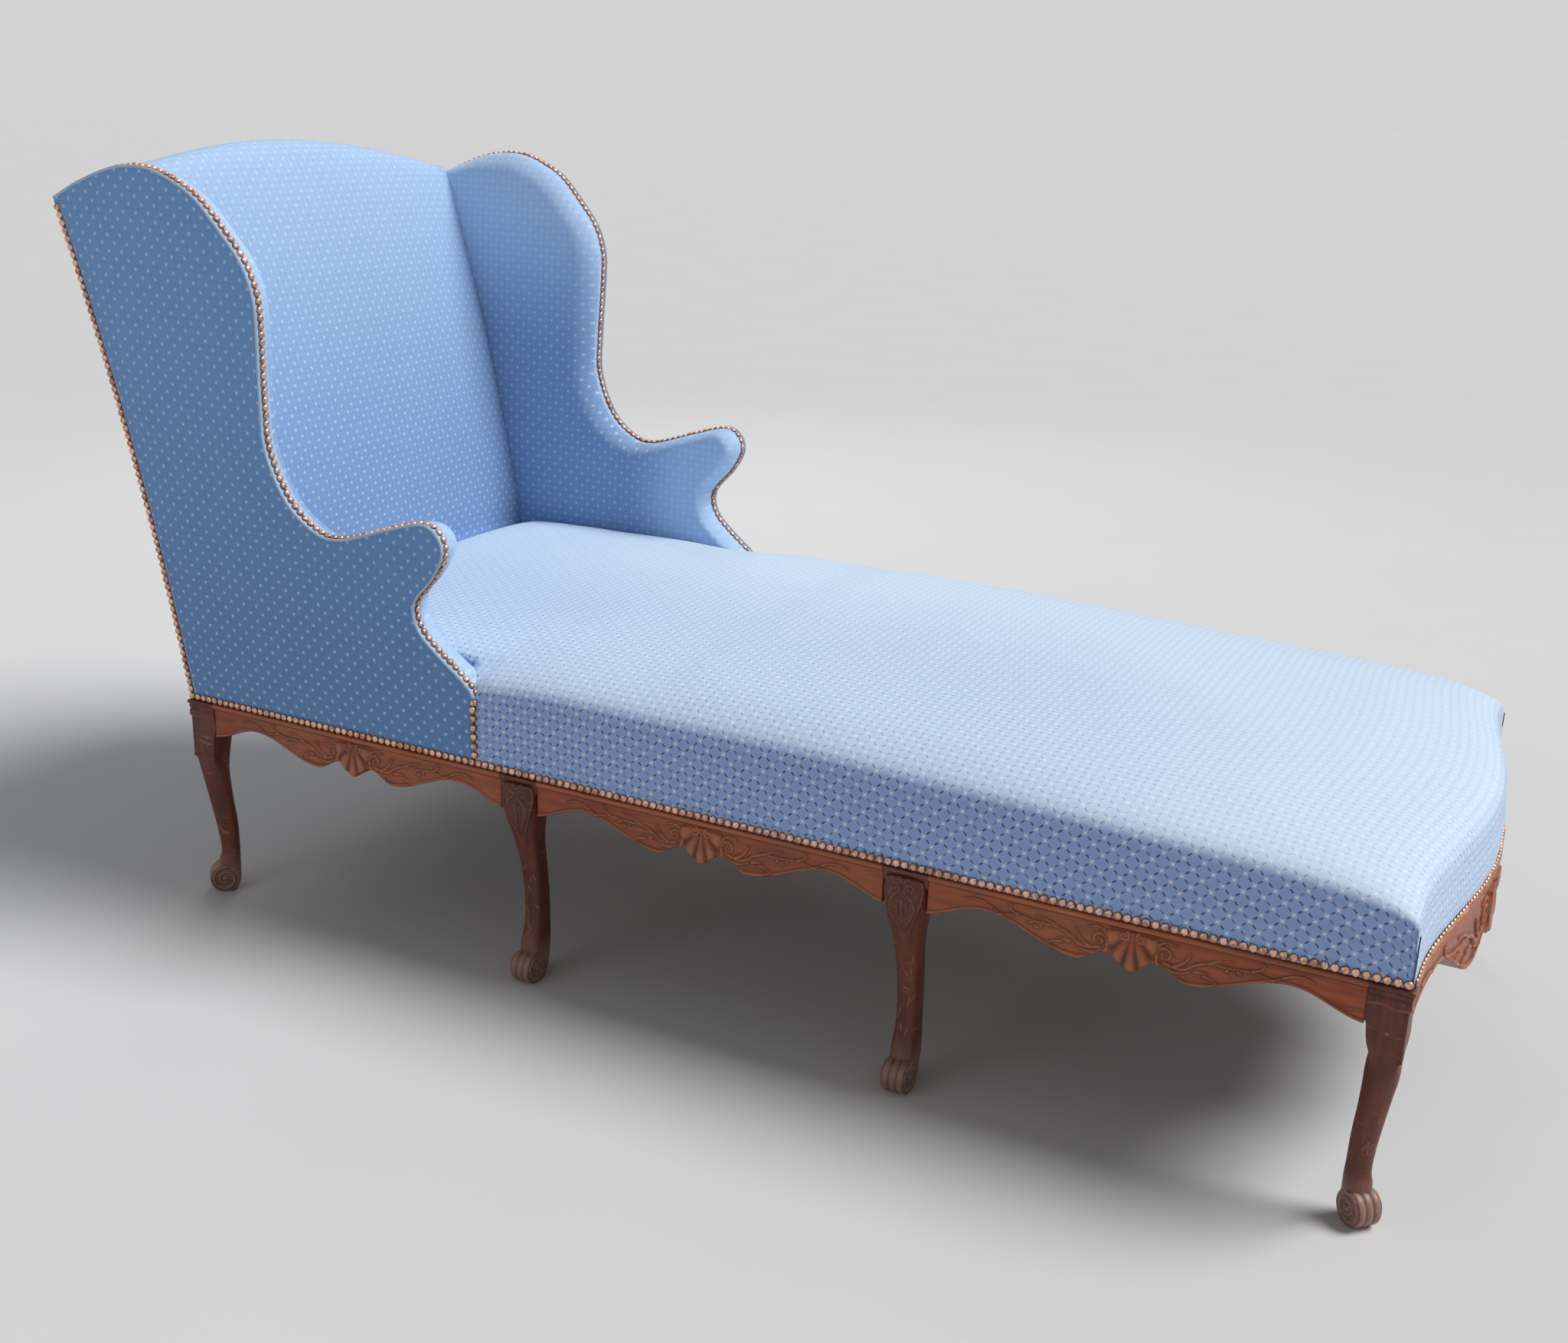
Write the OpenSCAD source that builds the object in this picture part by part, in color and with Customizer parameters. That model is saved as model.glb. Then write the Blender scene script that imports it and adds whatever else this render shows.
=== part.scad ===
// Wing-backed meridienne: carved frame on eight scroll-footed legs, sprung seat, nailed covers.
// Millimetres. +X runs from the back to the foot end, +Y is the sitter's left, +Z is up.

/* [Seat frame] */
// Length of the side of the frame, from the rear corner to the foot corner
frame_len = 1700; // [1560:10:1840]
// Half of the width across the fabric at the nail line
half_w = 400; // [360:1:440]
// Height of the nail line, where the fabric ends on the rails
nail_z = 310; // [295:1:330]
// Thickness of the seat rails
rail_t = 28; // [24:1:32]
// Height of the rails above the nail line, under the fabric
rail_rise = 35; // [30:1:42]
// Radius of the half-round moulding just under the nails
bead_r = 3.5; // [2.5:0.5:4]
// How far the foot rail bows out past the corners
foot_bow = 40; // [25:1:55]
// Side of the square blocks at the four corners
block = 44; // [40:1:50]
// Width of a middle leg at its knee
knee_w = 58; // [52:1:66]
// How far a knee stands proud of the rails
knee_out = 9; // [5:1:12]
// Depth of the rails under the nail line, at the shells and the lobes
apron_deep = 64; // [58:1:70]
// Thickness of the tenons
tenon_t = 10; // [8:1:12]
// Length of the tenons
tenon_len = 19; // [14:1:20]

/* [Legs] */
// Width of a leg at its ankle
ankle_w = 30; // [26:1:36]
// Radius of the scrolls that the legs stand on
scroll_r = 24; // [20:1:27]
// Width of the scrolls
scroll_w = 32; // [28:1:38]

/* [Back and wings] */
// Lean of the back at the seat, in degrees
rake = 7.75; // [5:0.25:10]
// Radius of the backward curve of the posts
post_curve_r = 3900; // [3200:50:5000]
// How far the posts thin towards the top
post_taper = 10; // [4:1:14]
// Thickness of the posts, across
post_t = 40; // [34:1:44]
// Outward lean of the arms and wings, in degrees
flare = 2.2; // [0:0.1:4]
// Distance of the arm's foot in front of the rear corner
arm_front = 505; // [470:5:540]
// Height of the arm's foot above the nail line
arm_foot_h = 90; // [80:1:100]
// Height of the arms above the nail line
arm_high = 315; // [290:1:330]
// Distance of the wing's front edge from the rear corner
wing_reach = 186; // [165:1:205]
// Height of the wings above the nail line
wing_high = 735; // [700:5:770]
// Height of the crest above the nail line, where it meets the wings
crest_low = 708; // [690:1:716]
// Rise of the crest in the middle
crest_rise = 52; // [35:1:65]
// Thickness of the boards in the arms and wings
board_t = 22; // [18:1:24]
// Width of the boards in the arms and wings
board_w = 44; // [36:1:52]
// Thickness of an arm or wing over its covers
wing_t = 50; // [46:1:58]

/* [Upholstery] */
// Thickness of the seat, back and wing covers with their wadding
cloth = 2; // [1.5:0.5:2.5]
// Height of the seat's edge above the nail line
seat_edge = 78; // [68:1:88]
// How much lower that edge is at the foot
foot_drop = 15; // [5:1:22]
// Rise of the seat's crown over its edge
seat_crown = 68; // [50:1:80]
// Height of the springs
spring_h = 98; // [85:1:100]
// Number of springs along the seat
spring_rows = 6; // [5:1:8]
// Radius of a spring at its ends
spring_r = 42; // [34:1:46]
// Thickness of the back's stuffing at its lower edge
back_pad_low = 24; // [18:1:30]
// Thickness of the back's stuffing at its upper edge
back_pad_high = 12; // [8:1:16]
// Rise of the back's crown over its edges
back_crown = 22; // [12:1:30]
// Width of the webbing
web_w = 60; // [50:5:70]

/* [Nails] */
// Distance from nail to nail
nail_pitch = 10.7; // [10.6:0.1:13]
// Radius of a nail's head
nail_r = 5.15; // [4:0.05:5.2]
// Height of a nail's head
nail_h = 4; // [2:0.1:4.8]

/* [Hidden] */
gap = 0.3;            // clearance of soft pieces
fit = 0.1;            // clearance of a tenon in its mortise
eps = 1;              // how far a cutter runs past what it cuts
web_t = 1.2;          // thickness of webbing and canvas
wire_r = 1.8;         // radius of the spring wire
batten_d = 24;        // depth of the webbing battens
bearer_w = 50;        // width of the cross bearers
bearer_t = 22;        // thickness of the cross bearers
lap = cloth + gap;    // the wood under the fabric lies this far behind the fabric's face
rail_top = nail_z + rail_rise;
hem = 4.5;            // the fabric ends this far under the nail line
bead_z = nail_z - hem - 1.5 - bead_r;
web_z = rail_top - 55;
spring_z = web_z;
deck_z = web_z + spring_h;
board_in = lap;                       // depth of the boards' outer faces
board_back = board_in + board_t;      // depth of their inner faces
edge_wrap = 6;                        // wadding and cover over the boards' edges
hem_h = rail_rise + 18;               // lower edge of the arm stuffing, over the deck canvas
seat_rear = block + 4;
half_out = half_w + tan(flare) * wing_high;
crest_drop = 18;                      // how far the rear of the crest lies under its front
back_reach = -rear_x(crest_low + crest_rise - crest_drop);
front_reach = frame_len + foot_bow + bead_r;
mid_x = (front_reach - back_reach) / 2;

WOOD = "peru";
LEG_WOOD = "saddlebrown";
HIDDEN_WOOD = "burlywood";
CLOTH = "cornflowerblue";
SIDE_CLOTH = "steelblue";

// Points on smooth lines
function between(a, b, t) = a + (b - a) * t;
function clamp(t) = min(max(t, 0), 1);
function through(p0, p1, p2, p3, t) =
    (2 * p1 + (p2 - p0) * t + (2 * p0 - 5 * p1 + 4 * p2 - p3) * t * t
    + (3 * p1 - p0 - 3 * p2 + p3) * t * t * t) / 2;
function smooth_line(p, steps) = concat(
    [for (i = [0:len(p) - 2]) for (k = [0:steps - 1])
        through(p[max(i - 1, 0)], p[i], p[i + 1], p[min(i + 2, len(p) - 1)], k / steps)],
    [p[len(p) - 1]]);
function ahead(p, i) =
    let (d = p[min(i + 1, len(p) - 1)] - p[max(i - 1, 0)]) d / norm(d);
// The line moved to its left, by depth times the share given for each point
function inset(p, depth, share) =
    [for (i = [0:len(p) - 1]) let (d = ahead(p, i), a = depth * (share == undef ? 1 : share[i]))
        p[i] + a * [-d[1], d[0]]];
function reversed(p) = [for (i = [len(p) - 1:-1:0]) p[i]];
function run_lengths(p) =
    [for (i = 0, s = 0; i < len(p); s = s + (i + 1 < len(p) ? norm(p[i + 1] - p[i]) : 0), i = i + 1) s];

// Lines of the back, by height above the nail line
function rear_x(h) = h <= 0 ? 0 : -(tan(rake) * h + h * h / (2 * post_curve_r));
function post_front(h) = rear_x(h) + block - post_taper * max(h, 0) / wing_high;
function crest_h(v) = crest_low + crest_rise * cos(90 * v);
function pad_half(h) = half_w + tan(flare) * h - (wing_t + gap) / cos(flare);

// The arm and wing, seen from the side: x and height above the nail line
wing_line = [
    [arm_front - 4, arm_foot_h - 30],
    [arm_front, arm_foot_h],
    [arm_front - 17, arm_foot_h + 21],
    [arm_front - 53, arm_foot_h + 49],
    [arm_front - 81, arm_foot_h + 75],
    [arm_front - 91, arm_high - 123],
    [arm_front - 84, arm_high - 100],
    [arm_front - 57, arm_high - 70],
    [arm_front - 39, arm_high - 37],
    [arm_front - 45, arm_high - 12],
    [arm_front - 70, arm_high],
    [arm_front - 125, arm_high - 15],
    [arm_front - 203, arm_high - 40],
    [wing_reach + 72, arm_high - 36],
    [wing_reach + 26, arm_high],
    [wing_reach - 3, arm_high + 64],
    [wing_reach - 5, wing_high - 294],
    [wing_reach, wing_high - 185],
    [wing_reach - 3, wing_high - 145],
    [wing_reach - 18, wing_high - 108],
    [wing_reach - 45, wing_high - 75],
    [wing_reach - 80, wing_high - 38],
    [wing_reach - 114, wing_high - 17],
    [wing_reach - 164, wing_high],
    [wing_reach - 221, wing_high - 2],
    [wing_reach - 287, wing_high - 23],
    [rear_x(wing_high - 47) + lap, wing_high - 47]
];
wing_edge = smooth_line(wing_line, 2);
rear_edge = [for (k = [0:10]) let (h = (wing_high - 47) * k / 10) [rear_x(h), h]];
// How much of the full rounding the pads have along the edge: less at the arm's scroll
edge_share = [for (i = [0:len(wing_edge) - 1]) lookup(i / (len(wing_edge) - 1),
    [[0, 0], [0.08, 0.45], [0.2, 0.45], [0.36, 0.5], [0.48, 1], [0.88, 1], [0.96, 0.4], [1, 0.08]])];

// Half of a bay's lower edge: distance from its centre, and share of apron_deep
bay_turns = [[0, 1], [26, 0.75], [66, 1], [175, 0.54], [260, 0.9]];
foot_turns = [[0, 1.6], [34, 1.35], [100, 1.6], [255, 0.62], [380, 0.9]];
function turn(t, u, k = 0) = u <= t[k + 1][0] || k == len(t) - 2
    ? between(t[k][1], t[k + 1][1], (1 - cos(180 * clamp((u - t[k][0]) / (t[k + 1][0] - t[k][0])))) / 2)
    : turn(t, u, k + 1);

// Leg centres along the frame
leg_x = [for (k = [0:3]) block / 2 + k * (frame_len - block) / 3];
function bow_x(y) = foot_bow * pow(1 - pow(min(abs(y) / (half_w - block), 1), 2), 2);

// Frames of the two sides: x along the rail, y outwards from the fabric's face, z up
module on_side(s) {
    translate([-mid_x, 0, 0]) mirror([0, s < 0 ? 1 : 0, 0]) translate([0, half_w, 0]) children();
}
// The leaning plane of an arm and wing: z is then the height above the nail line
module in_wing(s) {
    on_side(s) translate([0, 0, nail_z]) rotate([-flare, 0, 0]) children();
}
module in_middle() { translate([-mid_x, 0, 0]) children(); }
// A shape drawn as [x, z] and spread from y0 down to y0 - depth
module along_y(y0, depth) {
    translate([0, y0, 0]) rotate([90, 0, 0]) linear_extrude(depth) children();
}
// A shape drawn as [y, z] and spread from x0 over a length
module along_x(x0, length) {
    translate([x0, 0, 0]) rotate([90, 0, 90]) linear_extrude(length) children();
}
module box(low, high) { translate(low) cube(high - low); }

// Closed solids from two grids of points with loops around their edges between them
function flat(m) = [for (r = m) for (p = r) p];
function rim_ids(n, m) = concat(
    [for (j = [0:m]) j],
    [for (i = [1:n]) i * (m + 1) + m],
    [for (j = [m - 1:-1:0]) n * (m + 1) + j],
    [for (i = [n - 1:-1:1]) i * (m + 1)]);
function rim(g) = let (f = flat(g)) [for (k = rim_ids(len(g) - 1, len(g[0]) - 1)) f[k]];
function grid_faces(n, m, base, up) = [for (i = [0:n - 1]) for (j = [0:m - 1])
    let (a = base + i * (m + 1) + j, b = a + 1, c = a + m + 1, d = c + 1)
    for (f = up ? [[a, b, d], [a, d, c]] : [[d, b, a], [c, d, a]]) f];
function wall_faces(u, l) = [for (k = [0:len(u) - 1]) let (q = (k + 1) % len(u))
    for (f = [[u[q], u[k], l[k]], [u[q], l[k], l[q]]]) f];
module grid_form(top, loops, bottom) {
    n = len(top) - 1;
    m = len(top[0]) - 1;
    count = (n + 1) * (m + 1);
    ids = rim_ids(n, m);
    around = len(ids);
    last = count + len(loops) * around;
    chain = concat([ids],
        [for (q = [0:1:len(loops) - 1]) [for (k = [0:around - 1]) count + q * around + k]],
        [[for (k = ids) last + k]]);
    polyhedron(
        points = concat(flat(top), flat(loops), flat(bottom)),
        faces = concat(grid_faces(n, m, 0, true),
            [for (q = [0:len(chain) - 2]) for (f = wall_faces(chain[q], chain[q + 1])) f],
            grid_faces(n, m, last, false)));
}
// Triangles that fill a bent outline of [x, y] points, one corner cut off at a time
function turn_of(a, b, c) = (b[0] - a[0]) * (c[1] - a[1]) - (b[1] - a[1]) * (c[0] - a[0]);
function in_corner(a, b, c, q) = turn_of(a, b, q) >= 0 && turn_of(b, c, q) >= 0 && turn_of(c, a, q) >= 0;
function can_cut(p, ids, k) =
    let (n = len(ids), a = ids[(k + n - 1) % n], b = ids[k], c = ids[(k + 1) % n])
    turn_of(p[a], p[b], p[c]) > 0
    && len([for (q = ids) if (q != a && q != b && q != c && in_corner(p[a], p[b], p[c], p[q])) q]) == 0;
function corner_to_cut(p, ids, k) = k == len(ids) - 1 || can_cut(p, ids, k) ? k : corner_to_cut(p, ids, k + 1);
function cut_up(p, ids) = len(ids) == 3 ? [ids] :
    let (k = corner_to_cut(p, ids, 0), n = len(ids))
    concat([[ids[(k + n - 1) % n], ids[k], ids[(k + 1) % n]]],
        cut_up(p, [for (i = [0:n - 1]) if (i != k) ids[i]]));
// The same for a ring of points that lies across Y
function ring_fill(r) = cut_up([for (q = r) [q[0], q[2]]], [for (i = [0:len(r) - 1]) i]);
// A closed solid from rings of equal length, with the triangles of its two ends
module ring_form(rings, first_end, last_end) {
    n = len(rings[0]);
    polyhedron(
        points = flat(rings),
        faces = concat(
            [for (f = first_end) reversed(f)],
            [for (r = [0:len(rings) - 2]) for (k = [0:n - 1]) let (q = (k + 1) % n, a = r * n)
                for (f = [[a + k, a + q, a + n + k], [a + q, a + n + q, a + n + k]]) f],
            [for (f = last_end) [for (i = f) (len(rings) - 1) * n + i]]));
}

// Seat rails

module tenon(x, dir) {
    box([dir > 0 ? x - eps : x - tenon_len, -block / 2 - tenon_t / 2 + 8, nail_z - 36],
        [dir > 0 ? x + tenon_len : x + eps, -block / 2 + tenon_t / 2 + 8, nail_z + 25]);
}
module mortise(x, dir) {
    minx = dir > 0 ? x - eps : x - tenon_len - fit;
    maxx = dir > 0 ? x + tenon_len + fit : x + eps;
    box([minx, -block / 2 - tenon_t / 2 + 8 - fit, nail_z - 36 - fit],
        [maxx, -block / 2 + tenon_t / 2 + 8 + fit, nail_z + 25 + fit]);
}
function bay_line(c, x0, x1) = [for (k = [0:36]) let (x = between(x0, x1, k / 36))
    [x, nail_z - apron_deep * turn(bay_turns, abs(x - c))]];
// The carved shell at the middle of a bay, proud of the board
module shell(c, low) {
    hinge = nail_z - 18;
    reach = hinge - low;
    fan = [for (a = [-70:5:70]) let (r = reach * (0.96 + 0.04 * abs(cos(a * 9 / 2.8))))
        [c + r * sin(a) * 0.8, hinge - r * cos(a)]];
    along_y(5, 5) polygon(concat(fan, [[c + 9, hinge + 4], [c - 9, hinge + 4]]));
}
module side_rail(s, k) {
    x0 = leg_x[k] + (k == 0 ? block : knee_w) / 2;
    x1 = leg_x[k + 1] - (k == 2 ? block : knee_w) / 2;
    c = (leg_x[k] + leg_x[k + 1]) / 2;
    color(WOOD) on_side(s) {
        intersection() {
            along_x(x0, x1 - x0) polygon([
                [-rail_t, 0], [0, 0], [0, bead_z + bead_r], [-lap, bead_z + bead_r],
                [-lap, rail_top], [-rail_t, rail_top]]);
            along_y(0, rail_t) polygon(concat(bay_line(c, x0, x1), [[x1, rail_top], [x0, rail_top]]));
        }
        translate([x0, 0, bead_z]) rotate([0, 90, 0]) cylinder(r = bead_r, h = x1 - x0, $fn = 24);
        shell(c, nail_z - apron_deep);
        tenon(x0, -1);
        tenon(x1, 1);
    }
}
// The foot rail in plan, on the same lines as the seat, at a distance from the fabric's face
function bow_line(out) = let (w = half_w - block) concat([[frame_len + out, -w]],
    [for (v = seat_lines) let (y = v * half_w) if (abs(y) < w) [frame_len + bow_x(y) + out, y]],
    [[frame_len + out, w]]);
module bowed(out, thick, z0, z1) {
    translate([0, 0, z0]) linear_extrude(z1 - z0)
        polygon(concat(bow_line(out), reversed(bow_line(out - thick))));
}
module foot_rail() {
    w = half_w - block;
    low = [for (k = [-30:30]) let (y = k / 30 * w) [y, nail_z - apron_deep * turn(foot_turns, abs(y))]];
    color(WOOD) in_middle() {
        intersection() {
            union() {
                bowed(0, rail_t, 0, bead_z + bead_r);
                bowed(-lap, rail_t - lap, bead_z, rail_top);
            }
            along_x(frame_len - block, block + foot_bow + eps)
                polygon(concat(low, [[w, rail_top], [-w, rail_top]]));
        }
        bowed(bead_r, bead_r + rail_t / 2, bead_z - bead_r, bead_z + bead_r);
        for (s = [-1, 1]) foot_tenon(s, 0);
    }
}
// The tenons of the foot rail and the back seat rail point across the frame
module foot_tenon(s, grow) {
    x = frame_len - block / 2 + 8;
    w = half_w - block;
    mirror([0, s < 0 ? 1 : 0, 0])
        box([x - tenon_t / 2 - grow, w - eps, nail_z - 36 - grow],
            [x + tenon_t / 2 + grow, w + tenon_len + grow, nail_z + 25 + grow]);
}
module back_tenon(s, grow) {
    x = block / 2 - 8;
    w = half_w - block;
    mirror([0, s < 0 ? 1 : 0, 0])
        box([x - tenon_t / 2 - grow, w - eps, nail_z - 36 - grow],
            [x + tenon_t / 2 + grow, w + tenon_len + grow, nail_z + 25 + grow]);
}
module back_seat_rail() {
    w = half_w - block;
    color(WOOD) in_middle() {
        box([0, -w, nail_z - 50], [rail_t, w, bead_z + bead_r]);
        box([lap, -w, bead_z], [rail_t, w, rail_top]);
        translate([0, w, bead_z]) rotate([90, 0, 0]) cylinder(r = bead_r, h = 2 * w, $fn = 24);
        for (s = [-1, 1]) back_tenon(s, 0);
    }
}
module cross_bearer(k) {
    w = half_w - block;
    color(HIDDEN_WOOD) in_middle()
        box([leg_x[k] - bearer_w / 2, -w, web_z - 4 - bearer_t], [leg_x[k] + bearer_w / 2, w, web_z - 4]);
}

// Legs: each is the overlap of its side profile and its front profile, as it is sawn

// Half width of a leg by height
function leg_half(top_w) = smooth_line([
    [top_w / 2, nail_z - 18], [top_w / 2 - 1, nail_z - 42], [top_w * 0.41, nail_z - 70],
    [top_w * 0.33, nail_z - 96], [ankle_w * 0.56, nail_z - 124], [ankle_w / 2, nail_z - 165],
    [ankle_w / 2 - 1, 100], [ankle_w / 2, 70], [scroll_w / 2, 46], [scroll_w / 2, 0]], 2);
module leg_front(top_w) {
    p = leg_half(top_w);
    along_y(80, 160) polygon(concat([[top_w / 2, rail_top]], p,
        [for (q = reversed(p)) [-q[0], q[1]]], [[-top_w / 2, rail_top]]));
}
// Side profile: outer and inner face by height, with the scroll's centre at y = roll
module leg_side(outer, inner, roll) {
    along_x(-60, 120) union() {
        polygon(concat(smooth_line(outer, 2), smooth_line(inner, 2)));
        translate([roll, scroll_r]) circle(r = scroll_r, $fn = 32);
    }
}
module middle_leg(s, k) {
    b = -block;
    color(LEG_WOOD) on_side(s) difference() {
        translate([leg_x[k], 0, 0]) union() {
            intersection() {
                leg_front(knee_w);
                union() {
                    leg_side(
                        [[0, nail_z - 14], [knee_out - 2, nail_z - 19], [knee_out, nail_z - 42],
                         [knee_out - 4, nail_z - 68], [-4, nail_z - 95], [-13, nail_z - 122],
                         [-21, nail_z - 160], [-24, 100], [-20, 70], [-14, 46], [-12, 0]],
                        [[-32, 0], [-44, 12], [-52, 40], [-54, 70], [-54, 110],
                         [-51, nail_z - 150], [-49, nail_z - 110], [b - 3, nail_z - 75],
                         [b, nail_z - 55], [b, nail_z - 30], [b, nail_z - 14]],
                        -12);
                }
            }
            box([-knee_w / 2, b, nail_z - 42], [knee_w / 2, 0, bead_z + bead_r]);
            box([-knee_w / 2, b, bead_z], [knee_w / 2, -lap, rail_top]);
            translate([-knee_w / 2, 0, bead_z]) rotate([0, 90, 0])
                cylinder(r = bead_r, h = knee_w, $fn = 24);
        }
        mortise(leg_x[k] - knee_w / 2, 1);
        mortise(leg_x[k] + knee_w / 2, -1);
    }
}
// A corner leg under its block: it stands on the diagonal, turned by the angle given. Where the
// rails meet it, it keeps to its own side of their ends.
module diagonal_leg(turned) {
    rail_low = nail_z - apron_deep - 2;
    away = turned > 0 ? -1 : 1;
    intersection() {
        whole_diagonal_leg(turned);
        union() {
            box([-block * 2, -block * 2, 0], [block * 2, block * 2, rail_low]);
            box([away > 0 ? -block / 2 : -block * 2, -block / 2, 0],
                [away > 0 ? block * 2 : block / 2, block * 2, nail_z]);
        }
    }
}
module whole_diagonal_leg(turned) {
    rotate([0, 0, turned]) intersection() {
        leg_front(block * 1.3);
        leg_side(
            [[28, nail_z - 14], [30, nail_z - 36], [27, nail_z - 58], [19, nail_z - 84],
             [8, nail_z - 116], [0, nail_z - 160], [-3, 100], [0, 70], [6, 46], [2, 0]],
            [[-18, 0], [-27, 14], [-31, 45], [-31, 80], [-30, nail_z - 160], [-27, nail_z - 110],
             [-26, nail_z - 80], [-29, nail_z - 50], [-30, nail_z - 14]],
            0);
    }
}
module corner_block(x, side_dir) {
    rear = side_dir > 0;
    box([x - block / 2, -block, nail_z - 50], [x + block / 2, 0, bead_z + bead_r]);
    box([x - block / 2 + (rear ? lap : 0), -block, bead_z],
        [x + block / 2 - (rear ? 0 : lap), -lap, rail_top]);
    translate([x - block / 2, 0, bead_z]) rotate([0, 90, 0]) cylinder(r = bead_r, h = block, $fn = 24);
    translate([rear ? x - block / 2 : x + block / 2, 0, bead_z]) rotate([90, 0, 0])
        cylinder(r = bead_r, h = block, $fn = 24);
}
module foot_leg(s) {
    color(LEG_WOOD) difference() {
        on_side(s) {
            translate([leg_x[3], -block / 2, 0]) diagonal_leg(-45);
            corner_block(leg_x[3], -1);
        }
        on_side(s) mortise(leg_x[3] - block / 2, 1);
        in_middle() foot_tenon(s, fit);
    }
}

// Back frame

// A slab that follows the lean of the back between two distances in front of its rear face
module back_slab(front, back, h0, h1, y0, y1) {
    hs = [for (k = [0:10]) between(h0, h1, k / 10)];
    in_middle() along_y(y1, y1 - y0) polygon(concat(
        [for (h = hs) [rear_x(h) + back, nail_z + h]],
        [for (h = reversed(hs)) [(front == undef ? post_front(h) : rear_x(h) + front), nail_z + h]]));
}
// What lies between the leaning sides, each moved in by the depth given, and under the crest
module between_sides(depth, h0, drop, top) {
    function side_y(h) = half_w + tan(flare) * h - depth / cos(flare);
    high = top == undef ? crest_low - drop : top;
    crest = top == undef
        ? [for (v = back_lines) [v * pad_half(crest_low), nail_z + crest_h(v) - drop]] : [];
    in_middle() along_x(-half_w, half_w + block * 2) polygon(concat(
        [[side_y(h0), nail_z + h0], [-side_y(h0), nail_z + h0], [-side_y(high), nail_z + high]],
        crest, [[side_y(high), nail_z + high]]));
}
crest_rail_h = 62;    // depth of the crest rail
lower_rail_h = [rail_rise + 25, rail_rise + 75];
module crest_rail() {
    h0 = crest_low - crest_drop - crest_rail_h;
    color(HIDDEN_WOOD) {
        difference() {
            intersection() {
                back_slab(undef, lap, h0, crest_low + crest_rise, -half_out, half_out);
                between_sides(board_in + post_t, h0, crest_drop + lap + gap);
            }
            for (s = [-1, 1]) in_wing(s)
                box([-half_w, -wing_t - gap, post_top - gap], [half_w, 0, wing_high]);
        }
        back_rail_tenons(h0 + 12, h0 + crest_rail_h - 16, 0);
    }
}
module lower_back_rail() {
    color(HIDDEN_WOOD) {
        intersection() {
            back_slab(undef, lap, lower_rail_h[0], lower_rail_h[1], -half_out, half_out);
            between_sides(board_in + post_t, lower_rail_h[0], 0, lower_rail_h[1]);
        }
        back_rail_tenons(lower_rail_h[0] + 8, lower_rail_h[1] - 8, 0);
    }
}
// Both tenons of a back rail, or with grow their mortises
module back_rail_tenons(h0, h1, grow) {
    difference() {
        intersection() {
            back_slab(11 + tenon_t + grow, 11 - grow, h0 - grow, h1 + grow, -half_out, half_out);
            between_sides(board_in + post_t - tenon_len - grow, h0 - grow, 0, h1 + grow);
        }
        between_sides(board_in + post_t + eps, h0 - 2, 0, h1 + 2);
    }
}
module rear_post(s) {
    color(LEG_WOOD) difference() {
        union() {
            on_side(s) {
                translate([leg_x[0], -block / 2, 0]) diagonal_leg(45);
                corner_block(leg_x[0], 1);
            }
            intersection() {
                back_slab(undef, lap, rail_rise - 20, wing_high - 47 - edge_wrap,
                    s > 0 ? 0 : -half_out, s > 0 ? half_out : 0);
                difference() {
                    between_sides(board_in, 0, 0, wing_high);
                    between_sides(board_in + post_t, -1, 0, wing_high + 1);
                }
            }
        }
        on_side(s) mortise(leg_x[0] + block / 2, -1);
        in_middle() back_tenon(s, fit);
        back_rail_tenons(lower_rail_h[0] + 8, lower_rail_h[1] - 8, fit);
        back_rail_tenons(crest_low - crest_drop - crest_rail_h + 12, crest_low - crest_drop - 16, fit);
        for (z = [arm_rail_h[0] + 10, wing_top_h + 8])
            in_wing(s) side_tenon(z, fit);
    }
}

// Arm and wing frames, cut from boards

arm_rail_h = [arm_high - 87, arm_high - 43];
wing_top_h = wing_high - 85;
stump_x = arm_front - 109;
stile_x = wing_reach - 74;
elbow_x = wing_reach + 50;
module side_tenon(h, grow) {
    x = post_front(h + 10);
    box([x - tenon_len - grow, -board_in - board_t / 2 - tenon_t / 2 - grow, h - grow],
        [x + (grow > 0 ? 3 * eps : tenon_len), -board_in - board_t / 2 + tenon_t / 2 + grow, h + 22 + grow]);
}
// The part of a board inside the edge line that lies in the region given as [x, h] points
module wing_board(s, region) {
    edge = inset(wing_edge, edge_wrap);
    color(HIDDEN_WOOD) in_wing(s) intersection() {
        along_y(-board_in, board_t) polygon(concat(
            [[arm_front - edge_wrap, 0]], edge,
            [[rear_x(wing_high) - 20, wing_high - 60], [rear_x(0) - 20, 0]]));
        along_y(0, half_w) polygon(region);
    }
}
module arm_stump(s) {
    difference() {
        wing_board(s, [[stump_x, 0], [arm_front, 0], [arm_front, arm_rail_h[0]], [stump_x, arm_rail_h[0]]]);
        in_middle() box([0, -half_out, 0], [arm_front, half_out, rail_top]);
    }
}
module arm_rail(s) {
    wing_board(s, concat([for (h = arm_rail_h) [post_front(h) + gap, h]],
        [[elbow_x, arm_rail_h[1]], [elbow_x, arm_high + 20], [arm_front, arm_high + 20],
         [arm_front, arm_rail_h[0]]]));
    color(HIDDEN_WOOD) in_wing(s) side_tenon(arm_rail_h[0] + 10, 0);
}
module wing_stile(s) {
    wing_board(s, [[stile_x, arm_rail_h[1]], [elbow_x, arm_rail_h[1]],
        [elbow_x, wing_top_h], [stile_x, wing_top_h]]);
}
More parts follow.
